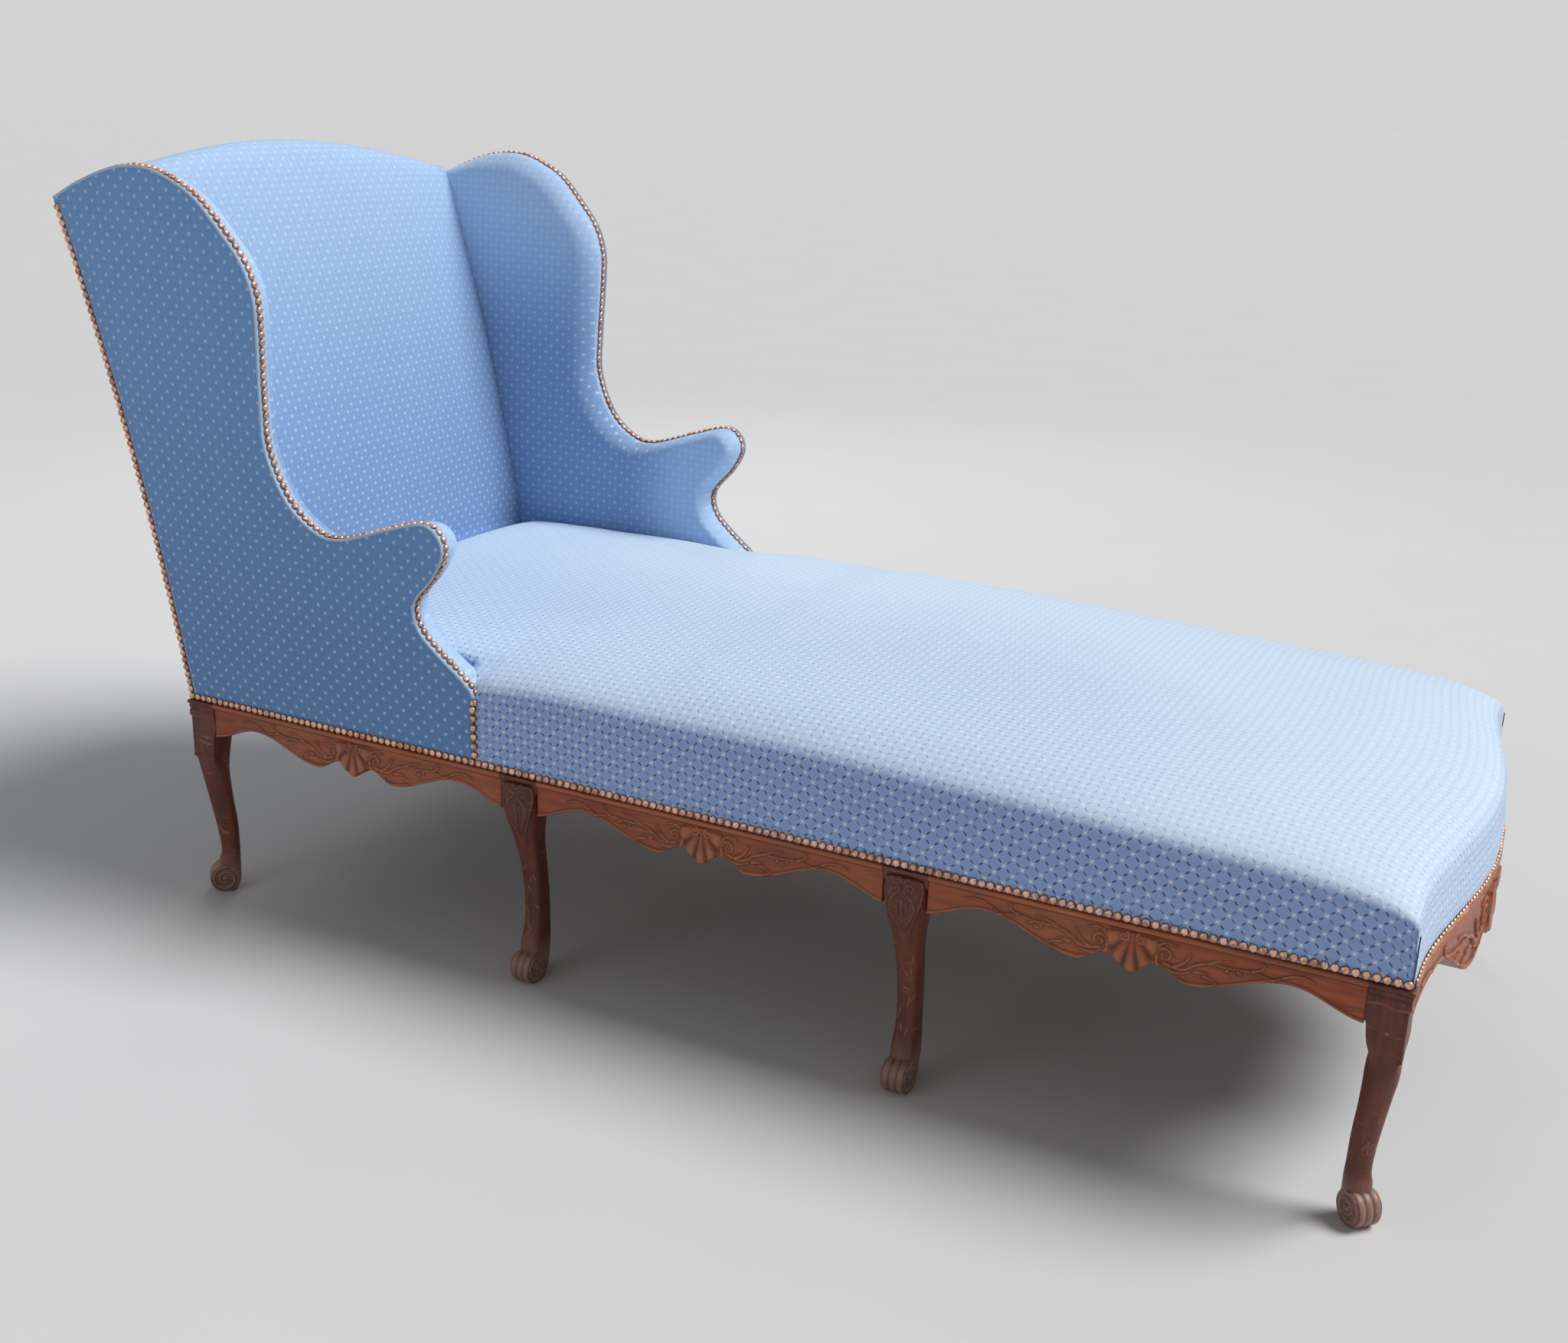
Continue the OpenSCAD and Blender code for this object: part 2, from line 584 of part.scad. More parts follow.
module wing_top(s) {
    wing_board(s, concat([for (h = [wing_top_h, wing_top_h + 30, wing_high]) [post_front(h) + gap, h]],
        [[elbow_x, wing_high], [elbow_x, wing_top_h]]));
    color(HIDDEN_WOOD) in_wing(s) side_tenon(wing_top_h + 8, 0);
}

// Battens that carry the webbing

module batten(x0, x1, y0, y1, z1) { box([x0, y0, web_z], [x1, y1, z1]); }
module side_battens(s) {
    color(HIDDEN_WOOD) on_side(s) for (k = [0:2])
        batten(k == 0 ? rail_t + batten_d : leg_x[k] + knee_w / 2,
            k == 2 ? frame_len - rail_t - batten_d : leg_x[k + 1] - knee_w / 2,
            -rail_t - batten_d, -rail_t, web_z + 40);
}
module foot_batten() {
    w = half_w - block;
    color(HIDDEN_WOOD) in_middle()
        intersection() {
            bowed(-rail_t, batten_d, web_z - web_t, web_z + 40);
            box([0, -w + gap, 0], [frame_len * 2, w - gap, rail_top]);
        }
}
module back_batten() {
    w = half_w - block;
    color(HIDDEN_WOOD) in_middle() batten_to(rail_t, rail_t + batten_d, w);
}
module batten_to(x0, x1, w) { box([x0, -w, web_z - web_t], [x1, w, rail_top]); }

// Webbing, springs and canvas of the seat

web_y = [for (k = [-2:2]) k * (half_w - block - web_w) / 2.6];
module seat_webs_long() {
    color("tan") in_middle() for (y = web_y)
        box([rail_t + gap, y - web_w / 2, web_z - 2 * web_t],
            [frame_len + bow_x(abs(y) + web_w / 2) - rail_t - 4, y + web_w / 2, web_z - web_t]);
}
webs_a_bay = 4;
module seat_webs_cross() {
    color("tan") in_middle() for (k = [0:2], j = [0:webs_a_bay - 1])
        let (x = between(leg_x[k], leg_x[k + 1], (j + 0.5) / webs_a_bay))
            box([x - web_w / 2, -half_w + rail_t + gap, web_z - web_t],
                [x + web_w / 2, half_w - rail_t - gap, web_z]);
}
module dust_cover() {
    w = half_w - block - gap;
    color("dimgray") in_middle()
        box([rail_t + gap, -w, web_z - 2 * web_t - 1], [frame_len - rail_t, w, web_z - 2 * web_t]);
}
// A spring: a wire that winds up with a narrower waist
module spring() {
    turns = 3;
    steps = 6;
    n = turns * steps;
    lift = spring_h - 2 * wire_r;
    rings = [for (i = [0:n]) let (t = i / n, r = spring_r * (0.7 + 0.3 * pow(2 * t - 1, 2)) - wire_r,
        a = 360 * turns * t)
        [for (f = [0:3]) let (q = r + wire_r * cos(90 * f))
            [q * cos(a), q * sin(a), wire_r + lift * t + wire_r * sin(90 * f)]]];
    square_end = [[0, 1, 2], [0, 2, 3]];
    ring_form(reversed([for (g = rings) reversed(g)]), square_end, square_end);
}
module seat_springs() {
    color("darkgray") in_middle() for (k = [0:spring_rows - 1], y = [-1, 0, 1])
        translate([between(seat_rear + 118, frame_len - 158, k / (spring_rows - 1)),
            y * (half_w - 178), spring_z]) spring();
}

// The seat's surface: lines across it as shares of the half width, and stations along it
half_lines = [0, 0.22, 0.43, 0.62, 0.78, 0.87, 0.935, 0.985, 1];
seat_lines = concat([for (k = [8:-1:1]) -half_lines[k]], half_lines);
bow_from = frame_len - 360;   // the side edges start to bow out here
drop_len = 700;               // the seat's edge falls towards the foot over this length
seat_stations = concat([for (t = [0, 0.055, 0.16, 0.27, 0.38, 0.5, 0.62, 0.74, 0.87, 1])
    between(seat_rear, bow_from, t)],
    [for (d = [240, 160, 110, 60, 26, 11, 3, 0]) frame_len - d]);
// Where the stuffing stands over the deck canvas, one line and one station in from its edge
canvas_lines = [2:14];
canvas_last = len(seat_stations) - 4;
function seat_x(x, y) = x + bow_x(y) * clamp((x - bow_from) / (frame_len - bow_from));
function seat_z(x, v) = let (
        end = clamp(1 - (frame_len - x) / 300),
        edge = seat_edge - foot_drop * clamp((x - frame_len + drop_len) / drop_len),
        rise = seat_crown * lookup(x, [[0, 0.62], [arm_front - 355, 0.78], [arm_front + 45, 1],
            [frame_len - drop_len, 0.98], [frame_len, 0.86]]))
    nail_z + edge + rise * pow(max(1 - pow(abs(v), 4), 0), 0.25) * pow(max(1 - pow(end, 4), 0), 0.4);
function deck(x, v) = rail_top + (deck_z - rail_top)
    * clamp((0.935 - abs(v)) / 0.155) * clamp((frame_len - 26 - x) / 84)
    * clamp((x - seat_rear) / (seat_stations[1] - seat_rear));
// The seat's grid, thinner by t all round and lowered by it
function seat_grid(t) = [for (x = seat_stations) [for (v = seat_lines)
    let (y = v * (half_w - t), e = x == seat_rear ? -t : x == frame_len ? t : 0)
    [seat_x(x, y) - e, y, seat_z(x, v) - t]]];
function dropped(loop, z) = [for (p = loop) [p[0], p[1], z]];
// The room that the arms and the nails at their feet take out of the seat
module arm_room() {
    for (s = [-1, 1]) on_side(s)
        box([-block, -wing_t - gap, 0], [arm_front + 5 * gap, block, nail_z + wing_high]);
}
module seat_cover() {
    outer = seat_grid(0);
    inner = seat_grid(cloth);
    color(CLOTH) difference() {
        in_middle() grid_form(outer, [dropped(rim(outer), nail_z - hem), dropped(rim(inner), nail_z - hem)],
            inner);
        arm_room();
        in_middle() box([0, -half_w, 0], [seat_rear + cloth, half_w, rail_top + 2 * cloth]);
    }
}
// The deck under the stuffing, raised by the distance given
function deck_grid(lift) = let (top = seat_grid(lap)) [for (i = [0:len(seat_stations) - 1])
    [for (j = [0:len(seat_lines) - 1]) let (p = top[i][j])
        [p[0], p[1], deck(seat_stations[i], seat_lines[j]) + lift]]];
module seat_stuffing() {
    color("beige") difference() {
        in_middle() grid_form(seat_grid(lap), [], deck_grid(web_t + gap));
        arm_room();
    }
}
module seat_canvas() {
    top = deck_grid(web_t);
    low = deck_grid(0);
    color("khaki") in_middle() grid_form(
        [for (i = [0:canvas_last]) [for (j = canvas_lines) top[i][j]]], [],
        [for (i = [0:canvas_last]) [for (j = canvas_lines) low[i][j]]]);
}

// The back's pad: lines across it, and heights between the seat and the crest
back_lines = [for (v = [-1, -0.97, -0.88, -0.72, -0.5, -0.25, 0, 0.25, 0.5, 0.72, 0.88, 0.97, 1]) v];
back_steps = [0, 0.05, 0.15, 0.28, 0.42, 0.56, 0.7, 0.82, 0.9, 0.95, 0.975, 0.99, 1];
pad_back = 2 * web_t + 3 * gap;   // webbing and canvas in front of the posts
function back_grid(t) = [for (w = back_steps) [for (v = back_lines)
    let (low = seat_z(seat_rear + 15, v * 0.87) - nail_z + 1.2,
        h = between(low + t, crest_h(v) - t, w),
        y = v * (pad_half(h) - t),
        top = pow(max(1 - pow(clamp((w - 0.86) / 0.14), 4), 0), 0.34),
        thick = between(back_pad_low, back_pad_high, h / crest_low) - pad_back,
        crown = back_crown * pow(max(1 - pow(abs(v), 4), 0), 0.3) * (0.4 + 0.6 * sin(180 * clamp(w))))
    [post_front(h) + pad_back + gap + cloth + 1 + (thick + crown) * top - t, y, nail_z + h]]];
function mirrored(g) = [for (r = g) reversed(r)];
module back_cover() {
    color(CLOTH) in_middle() grid_form(mirrored(back_grid(0)), [], mirrored(back_grid(cloth)));
}
module back_stuffing() {
    front = back_grid(cloth + gap);
    rear = [for (r = front) [for (p = r) [post_front(p[2] - nail_z) + pad_back, p[1], p[2]]]];
    color("beige") in_middle() grid_form(mirrored(front), [], mirrored(rear));
}
// The roll of wadding and cover over the crest rail, from the back's pad to the rear face
module crest_roll() {
    over = [for (v = back_lines) let (h = crest_h(v), y = v * pad_half(h))
        [[post_front(h) + pad_back - gap, y, nail_z + h - lap],
         [post_front(h) - 8, y, nail_z + h - lap - 2],
         [rear_x(h - crest_drop), y, nail_z + h - crest_drop]]];
    under = [for (v = back_lines) let (h = crest_h(v) - crest_drop - lap, y = v * pad_half(h))
        [[post_front(h) + pad_back - gap, y, nail_z + h], [post_front(h) - 8, y, nail_z + h],
         [rear_x(h), y, nail_z + h]]];
    color(CLOTH) in_middle() grid_form(over, [], under);
}
module back_webs() {
    h0 = lower_rail_h[0] + 6;
    color("tan") for (k = [-2:2]) let (y = k * 125)
            back_slab_front(gap, gap + web_t, h0, crest_low - crest_drop - 8, y - web_w / 2, y + web_w / 2);
}
// A sheet in front of the posts, between two distances before their front faces
module back_slab_front(a, b, h0, h1, y0, y1) {
    hs = [for (k = [0:12]) between(h0, h1, k / 12)];
    in_middle() along_y(y1, y1 - y0) polygon(concat(
        [for (h = hs) [post_front(h) + a, nail_z + h]],
        [for (h = reversed(hs)) [post_front(h) + b, nail_z + h]]));
}
module back_canvas() {
    h0 = lower_rail_h[0] + 2;
    color("khaki") intersection() {
        back_slab_front(2 * gap + web_t, 2 * gap + 2 * web_t, h0, crest_low + crest_rise,
            -half_out, half_out);
        between_sides(wing_t + gap, h0, crest_drop + 8);
    }
}

// Arms and wings: canvas, stuffing and cover inside, panel outside

module wing_canvas(s) {
    color("khaki") in_wing(s) along_y(-board_back, web_t) intersection() {
        polygon(concat([[arm_front - 20, hem_h + 2]], inset(wing_edge, 16), [[rear_x(0), hem_h + 2]]));
        polygon(concat([[arm_front, 0], [arm_front, wing_high]],
            [for (k = [12:-1:0]) let (h = wing_high * k / 12) [post_front(h) + 2 * gap, h]]));
    }
}
// Rings of an arm and wing's soft side, t inside its face: depth from the outer face, rounding
// at the edge, and how much of t goes into the inset. Behind, they run round the post.
post_top = wing_high - 47 - edge_wrap;
function wing_ring(depth, round_by, t, part = 1) = [for (p = concat(
        inset(wing_edge, 1, [for (q = edge_share) q * round_by + t * between(1, part, q)]),
        [[rear_x(post_top) + lap, post_top + gap]],
        [for (k = [8:-1:0]) let (h = between(hem_h, post_top + gap, k / 8)) [post_front(h) + gap, h]],
        [[arm_front - gap, hem_h]]))
    [p[0], -depth, p[1]]];
function wing_rings(t) = [
    wing_ring(board_in, 0, t), wing_ring(wing_t * 0.44, 0, t),
    wing_ring(wing_t * 0.68 - t * 0.5, 5, t, 0.9), wing_ring(wing_t * 0.87 - t * 0.85, 15, t, 0.6),
    wing_ring(wing_t - t, 32, t, 0.2)];
// A bent sheet between two sets of rings, whose last rings close flat. The rings' first points,
// as many as edge says, bend round the edge, and the sheet is open along the others.
module bent_sheet(outer, inner, edge) {
    last = len(outer) - 1;
    rest = len(outer[0]) - edge;
    half = (last + 1) * edge + rest;
    function points_of(s) = concat([for (r = s) for (i = [0:edge - 1]) r[i]],
        [for (i = [0:rest - 1]) s[last][edge + i]]);
    strips = [for (r = [0:last - 1]) for (i = [0:edge - 2]) let (a = r * edge + i, c = a + edge)
        for (f = [[a, c, a + 1], [a + 1, c, c + 1]]) f];
    function side(s) = concat(strips,
        [for (f = ring_fill(s[last])) [for (i = reversed(f)) last * edge + i]]);
    loop = concat([for (i = [0:edge - 1]) i], [for (r = [1:last - 1]) r * edge + edge - 1],
        [for (i = [last * edge + edge - 1:half - 1]) i], [for (r = [last:-1:1]) r * edge]);
    polyhedron(
        points = concat(points_of(outer), points_of(inner)),
        faces = concat(side(outer), [for (f = side(inner)) [for (i = reversed(f)) half + i]],
            wall_faces([for (i = loop) half + i], loop)));
}
// The pad on the canvas, and the wadding round the boards' edges
module wing_stuffing(s) {
    pad_in = board_back + web_t + gap;
    part = (pad_in / wing_t - 0.44) / 0.24;
    color("beige") in_wing(s) {
        inner_ring = wing_rings(lap)[4];
        outer_ring = wing_ring(pad_in, 5 * part, lap, 1 - 0.1 * part);
        ring_form(concat([for (k = [4:-1:2]) wing_rings(lap)[k]], [outer_ring]),
            ring_fill(inner_ring), ring_fill(outer_ring));
        along_y(-board_in, pad_in - board_in - gap) difference() {
            polygon(concat([[arm_front - lap, hem_h]], inset(wing_edge, lap),
                [[rear_x(post_top) + lap, post_top + gap], [rear_x(0), hem_h]]));
            polygon(concat([[arm_front - edge_wrap + gap, 0]], inset(wing_edge, edge_wrap - gap),
                [[rear_x(wing_high) - 20, post_top - gap], [rear_x(0) - 20, 0]]));
        }
    }
}
module wing_cover(s) {
    color(CLOTH) in_wing(s) bent_sheet(wing_rings(0), wing_rings(cloth), len(wing_edge));
}
module outside_panel(s) {
    color(SIDE_CLOTH) in_wing(s) along_y(0, cloth) polygon(concat(
        [[0, -hem], [arm_front, -hem]], wing_edge, reversed(rear_edge)));
}
module outside_back() {
    color(SIDE_CLOTH) intersection() {
        back_slab(cloth, 0, -hem, crest_low + crest_rise, -half_out, half_out);
        between_sides(board_in, -hem, crest_drop + lap + gap);
    }
}

// Nails: domed heads on the fabric

module nail() {
    ball = (nail_r * nail_r + nail_h * nail_h) / (2 * nail_h);
    translate([0, 0, gap]) intersection() {
        translate([0, 0, nail_h - ball]) sphere(r = ball, $fn = 24);
        cylinder(r = nail_r + eps, h = nail_h + eps, $fn = 24);
    }
}
module nail_at(place, out) {
    translate(place) rotate([0, acos(out[2] / norm(out)), atan2(out[1], out[0])]) nail();
}
// Nails along a line of [x, h] points, whose heads look away from its left side
module nails_along(p, depth) {
    s = run_lengths(p);
    total = s[len(s) - 1];
    n = floor(total / nail_pitch);
    along = [for (i = [0:len(p) - 1]) [s[i], p[i][0]]];
    up = [for (i = [0:len(p) - 1]) [s[i], p[i][1]]];
    for (k = [0:n - 1]) let (q = (k + 0.5) * total / n,
        a = [lookup(q - 1, along), lookup(q - 1, up)], b = [lookup(q + 1, along), lookup(q + 1, up)],
        d = (b - a) / norm(b - a))
        nail_at([lookup(q, along), -depth, lookup(q, up)], [d[1], 0, -d[0]]);
}
// Nails on the outer face of an arm and wing, along a line of [x, h] points
module nails_on_panel(p) {
    s = run_lengths(p);
    total = s[len(s) - 1];
    n = floor(total / nail_pitch);
    along = [for (i = [0:len(p) - 1]) [s[i], p[i][0]]];
    up = [for (i = [0:len(p) - 1]) [s[i], p[i][1]]];
    for (k = [0:n]) nail_at([lookup(k * total / n, along), 0, lookup(k * total / n, up)], [0, 1, 0]);
}
nail_depth = 11;   // how far the wing nails lie behind the outer face
module wing_nails() {
    color("darkgoldenrod") for (s = [-1, 1]) in_wing(s) {
        nails_along([for (i = [2:len(wing_edge) - 1]) wing_edge[i]], nail_depth);
        x = arm_front - nail_r - gap;
        nails_on_panel([[x, nail_pitch], [x, floor(arm_foot_h / nail_pitch - 0.5) * nail_pitch]]);
    }
}
module side_rail_nails() {
    n = floor((frame_len - 2 * nail_r) / nail_pitch);
    color("darkgoldenrod") for (s = [-1, 1]) on_side(s)
        for (k = [0:n]) nail_at([between(nail_r, frame_len - nail_r, k / n), 0, nail_z], [0, 1, 0]);
}
module foot_rail_nails() {
    line = concat([[frame_len, nail_r - half_w]],
        [for (v = seat_lines) let (y = v * half_w) if (abs(v) < 0.98) [seat_x(frame_len, y), y]],
        [[frame_len, half_w - nail_r]]);
    color("darkgoldenrod") in_middle() translate([0, 0, nail_z]) foot_nails(line);
}
module foot_nails(line) {
    s = run_lengths(line);
    total = s[len(s) - 1];
    n = floor(total / nail_pitch);
    xs = [for (i = [0:len(line) - 1]) [s[i], line[i][0]]];
    ys = [for (i = [0:len(line) - 1]) [s[i], line[i][1]]];
    for (k = [0:n - 1]) let (q = (k + 0.5) * total / n,
        d = [lookup(q + 1, xs) - lookup(q - 1, xs), lookup(q + 1, ys) - lookup(q - 1, ys)])
        nail_at([lookup(q, xs), lookup(q, ys), 0], [d[1], -d[0], 0]);
}
module back_nails() {
    w = half_w - board_in - nail_r - gap;
    n = floor(2 * w / nail_pitch);
    color("darkgoldenrod") {
        in_middle() for (k = [0:n]) nail_at([rear_x(nail_r) / 2, between(-w, w, k / n), nail_z],
            [-cos(rake / 2), 0, -sin(rake / 2)]);
        for (s = [-1, 1]) in_wing(s) nails_on_panel([for (k = [0:20])
            let (h = between(nail_pitch, post_top - nail_r, k / 20)) [rear_x(h) + nail_r + 2 * gap, h]]);
    }
}

side_rail(1, 0);  // side_rail_rear_left
side_rail(1, 1);  // side_rail_middle_left
side_rail(1, 2);  // side_rail_front_left
side_rail(-1, 0);  // side_rail_rear_right
side_rail(-1, 1);  // side_rail_middle_right
side_rail(-1, 2);  // side_rail_front_right
foot_rail();
back_seat_rail();
cross_bearer(1);  // cross_bearer_rear
cross_bearer(2);  // cross_bearer_front
rear_post(1);  // rear_post_left
rear_post(-1);  // rear_post_right
middle_leg(1, 1);  // middle_leg_rear_left
middle_leg(1, 2);  // middle_leg_front_left
middle_leg(-1, 1);  // middle_leg_rear_right
middle_leg(-1, 2);  // middle_leg_front_right
foot_leg(1);  // foot_leg_left
foot_leg(-1);  // foot_leg_right
side_battens(1);  // side_battens_left
side_battens(-1);  // side_battens_right
foot_batten();
back_batten();
crest_rail();
lower_back_rail();
arm_stump(1);  // arm_stump_left
arm_stump(-1);  // arm_stump_right
arm_rail(1);  // arm_rail_left
arm_rail(-1);  // arm_rail_right
wing_stile(1);  // wing_stile_left
wing_stile(-1);  // wing_stile_right
wing_top(1);  // wing_top_left
wing_top(-1);  // wing_top_right
seat_webs_long();
seat_webs_cross();
dust_cover();
seat_springs();
seat_canvas();
seat_stuffing();
seat_cover();
back_webs();
back_canvas();
back_stuffing();
back_cover();
crest_roll();
wing_canvas(1);  // wing_canvas_left
wing_canvas(-1);  // wing_canvas_right
wing_stuffing(1);  // wing_stuffing_left
wing_stuffing(-1);  // wing_stuffing_right
wing_cover(1);  // wing_cover_left
wing_cover(-1);  // wing_cover_right
outside_panel(1);  // outside_panel_left
outside_panel(-1);  // outside_panel_right
outside_back();
side_rail_nails();
foot_rail_nails();
back_nails();
wing_nails();
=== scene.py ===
"""Looks of the meridienne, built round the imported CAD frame. Sizes here are in millimetres."""

import math
import random

import bmesh
import bpy
import numpy as np
from mathutils import Matrix, Vector
from mathutils.geometry import delaunay_2d_cdt


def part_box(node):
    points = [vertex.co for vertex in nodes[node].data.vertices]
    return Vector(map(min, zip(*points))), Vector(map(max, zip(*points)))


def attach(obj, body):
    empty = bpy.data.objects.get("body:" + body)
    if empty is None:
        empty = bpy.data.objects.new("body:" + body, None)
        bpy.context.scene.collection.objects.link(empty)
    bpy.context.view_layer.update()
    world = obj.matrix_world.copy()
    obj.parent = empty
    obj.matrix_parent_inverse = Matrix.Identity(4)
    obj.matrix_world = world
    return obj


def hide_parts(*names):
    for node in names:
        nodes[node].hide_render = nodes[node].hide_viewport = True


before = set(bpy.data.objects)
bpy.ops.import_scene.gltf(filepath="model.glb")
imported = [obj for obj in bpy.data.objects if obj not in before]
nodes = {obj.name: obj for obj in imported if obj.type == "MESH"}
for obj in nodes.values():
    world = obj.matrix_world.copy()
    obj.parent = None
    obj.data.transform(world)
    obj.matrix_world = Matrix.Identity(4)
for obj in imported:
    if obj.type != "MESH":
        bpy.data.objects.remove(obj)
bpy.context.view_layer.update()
MM = 0.001

# Sizes of the CAD part
FRAME_LEN, HALF_W, NAIL_Z = 1700.0, 400.0, 310.0
RAIL_T, RAIL_TOP, BLOCK, KNEE_W, APRON = 28.0, 345.0, 44.0, 58.0, 64.0
BEAD_R, BEAD_Z, LAP, HEM, BOW = 3.5, 300.5, 2.3, 4.5, 40.0
RAKE, FLARE = math.radians(7.75), math.radians(2.2)
ARM_FRONT, WING_H, WING_T, SEAT_REAR = 505.0, 735.0, 50.0, 48.0
CREST_LOW, CREST_RISE, CREST_DROP = 708.0, 52.0, 18.0
MID_X = 785.967
LEG_X = [22.0, 574.0, 1126.0, 1678.0]
SIDES = (("left", 1), ("right", -1))
HEM_Z = NAIL_Z - HEM
SEAT_INSIDE, SEAT_CORNER = 349.2, 6.0   # half the seat's width between the arms, its corners' radius
ARM_FACE = [(60, 505), (90, 505), (111, 488), (139, 452), (165, 424), (192, 414)]
WING_LINE = [
    (501, 60), (505, 90), (488, 111), (452, 139), (424, 165), (414, 192), (421, 215), (448, 245),
    (466, 278), (460, 303), (435, 315), (380, 300), (302, 275), (258, 279), (212, 315), (183, 379),
    (181, 441), (186, 550), (183, 590), (168, 627), (141, 660), (106, 697), (72, 718), (22, 735),
    (-35, 733), (-101, 712), (-152.4, 688)]


# Lines and surfaces shared with the CAD part

def clamp(t):
    return np.clip(t, 0.0, 1.0)


def table(x, pairs):
    return np.interp(x, *zip(*pairs))


def stack(*parts):
    """The parts side by side on a last axis, each stretched to the shape of all."""
    return np.stack(np.broadcast_arrays(*parts), axis=-1)


def unit(v):
    return v / np.maximum(np.linalg.norm(v, axis=-1, keepdims=True), 1e-9)


def around(n):
    """Cosine and sine of n even steps round a circle."""
    turn = 2 * np.pi * np.arange(n) / n
    return np.cos(turn), np.sin(turn)


def crowded(n):
    """n places from -1 to 1, closer to each other towards both ends."""
    turn = np.linspace(-1, 1, n) * np.pi / 2 * 0.92
    return np.sin(turn) / math.sin(np.pi / 2 * 0.92)


def smooth(t):
    t = clamp(t)
    return t * t * (3 - 2 * t)


def rear_x(h):
    h = np.maximum(h, 0.0)
    return -(math.tan(RAKE) * h + h * h / 7800)


def post_front(h):
    return rear_x(h) + BLOCK - 10 * np.maximum(h, 0.0) / WING_H


def crest_h(v):
    return CREST_LOW + (CREST_RISE - 4) * np.cos(np.radians(90 * np.asarray(v, float)))


def pad_half(h):
    return HALF_W + math.tan(FLARE) * h - (WING_T + 0.3) / math.cos(FLARE)


def bow_x(y):
    return BOW * (1 - np.minimum(np.abs(y) / (HALF_W - BLOCK), 1) ** 2) ** 2


def seat_x(x, y):
    return x + bow_x(y) * clamp((x - 1340) / 360)


def seat_z(x, v):
    end = clamp(1 - (FRAME_LEN - x) / 300)
    dip = np.exp(-((x - ARM_FRONT) / 70) ** 2) * smooth((np.abs(v) - 0.55) / 0.45)
    edge = 78 - 15 * clamp((x - 1000) / 700) - 8 * dip
    rise = 68 * table(x, [(0, .72), (150, .86), (550, 1), (1000, .98), (1700, .86)])
    across = np.maximum(1 - np.abs(v) ** 4, 0) ** 0.25
    return NAIL_Z + edge + rise * across * np.maximum(1 - end ** 4, 0) ** 0.4


def curve(points, steps):
    """A smooth line through the points."""
    p = np.array(points, float)
    out = []
    for i in range(len(p) - 1):
        a, b, c, d = p[max(i - 1, 0)], p[i], p[i + 1], p[min(i + 2, len(p) - 1)]
        for k in range(steps):
            t = k / steps
            out.append((2 * b + (c - a) * t + (2 * a - 5 * b + 4 * c - d) * t * t
                        + (3 * b - a - 3 * c + d) * t ** 3) / 2)
    out.append(p[-1])
    return np.array(out)


def run(p):
    """Length along a line, up to each of its points."""
    return np.concatenate([[0], np.cumsum(np.linalg.norm(np.diff(p, axis=0), axis=1))])


def even(p, step):
    """The line's points, a step apart."""
    p = np.asarray(p, float)
    s = run(p)
    at = np.linspace(0, s[-1], max(int(round(s[-1] / step)), 1) + 1)
    return stack(*(np.interp(at, s, column) for column in p.T))


def normals(p):
    """To the left of the line at each of its points."""
    d = unit(np.gradient(p, axis=0))
    return stack(-d[:, 1], d[:, 0])


def distance(q, line):
    """Distance of each point to a line, with how far along the line that is."""
    best = np.full(len(q), 1e9)
    where = np.zeros(len(q))
    s = run(line)
    for i in range(len(line) - 1):
        a, b = line[i], line[i + 1]
        d = b - a
        t = clamp(((q - a) @ d) / (d @ d))
        gap = np.linalg.norm(q - a - t[:, None] * d, axis=1)
        near = gap < best
        best[near] = gap[near]
        where[near] = s[i] + t[near] * math.sqrt(d @ d)
    return best, where / s[-1]


def to_world(x, out, z, s=1):
    """From a side's own frame: out is measured outwards from the fabric's face."""
    return stack(x - MID_X, s * (HALF_W + out), z)


def in_wing(x, out, h, s):
    """From the leaning plane of an arm and wing, h above the nail line."""
    c, f = math.cos(FLARE), math.sin(FLARE)
    return to_world(x, out * c + h * f, NAIL_Z - out * f + h * c, s)


# Meshes

def read(items, key, size=3, kind=float):
    """A value of each of a mesh's points, edges or corners, in rows."""
    values = np.zeros(len(items) * size, kind)
    items.foreach_get(key, values)
    return values.reshape(-1, size)


def new_object(name, data):
    obj = bpy.data.objects.new(name, data)
    bpy.context.scene.collection.objects.link(obj)
    return obj


def grid_faces(n, m, flip=False, wrap=False):
    faces = []
    for i in range(n - 1):
        for j in range(m if wrap else m - 1):
            k = (j + 1) % m
            f = (i * m + j, i * m + k, (i + 1) * m + k, (i + 1) * m + j)
            faces.append(f[::-1] if flip else f)
    return faces


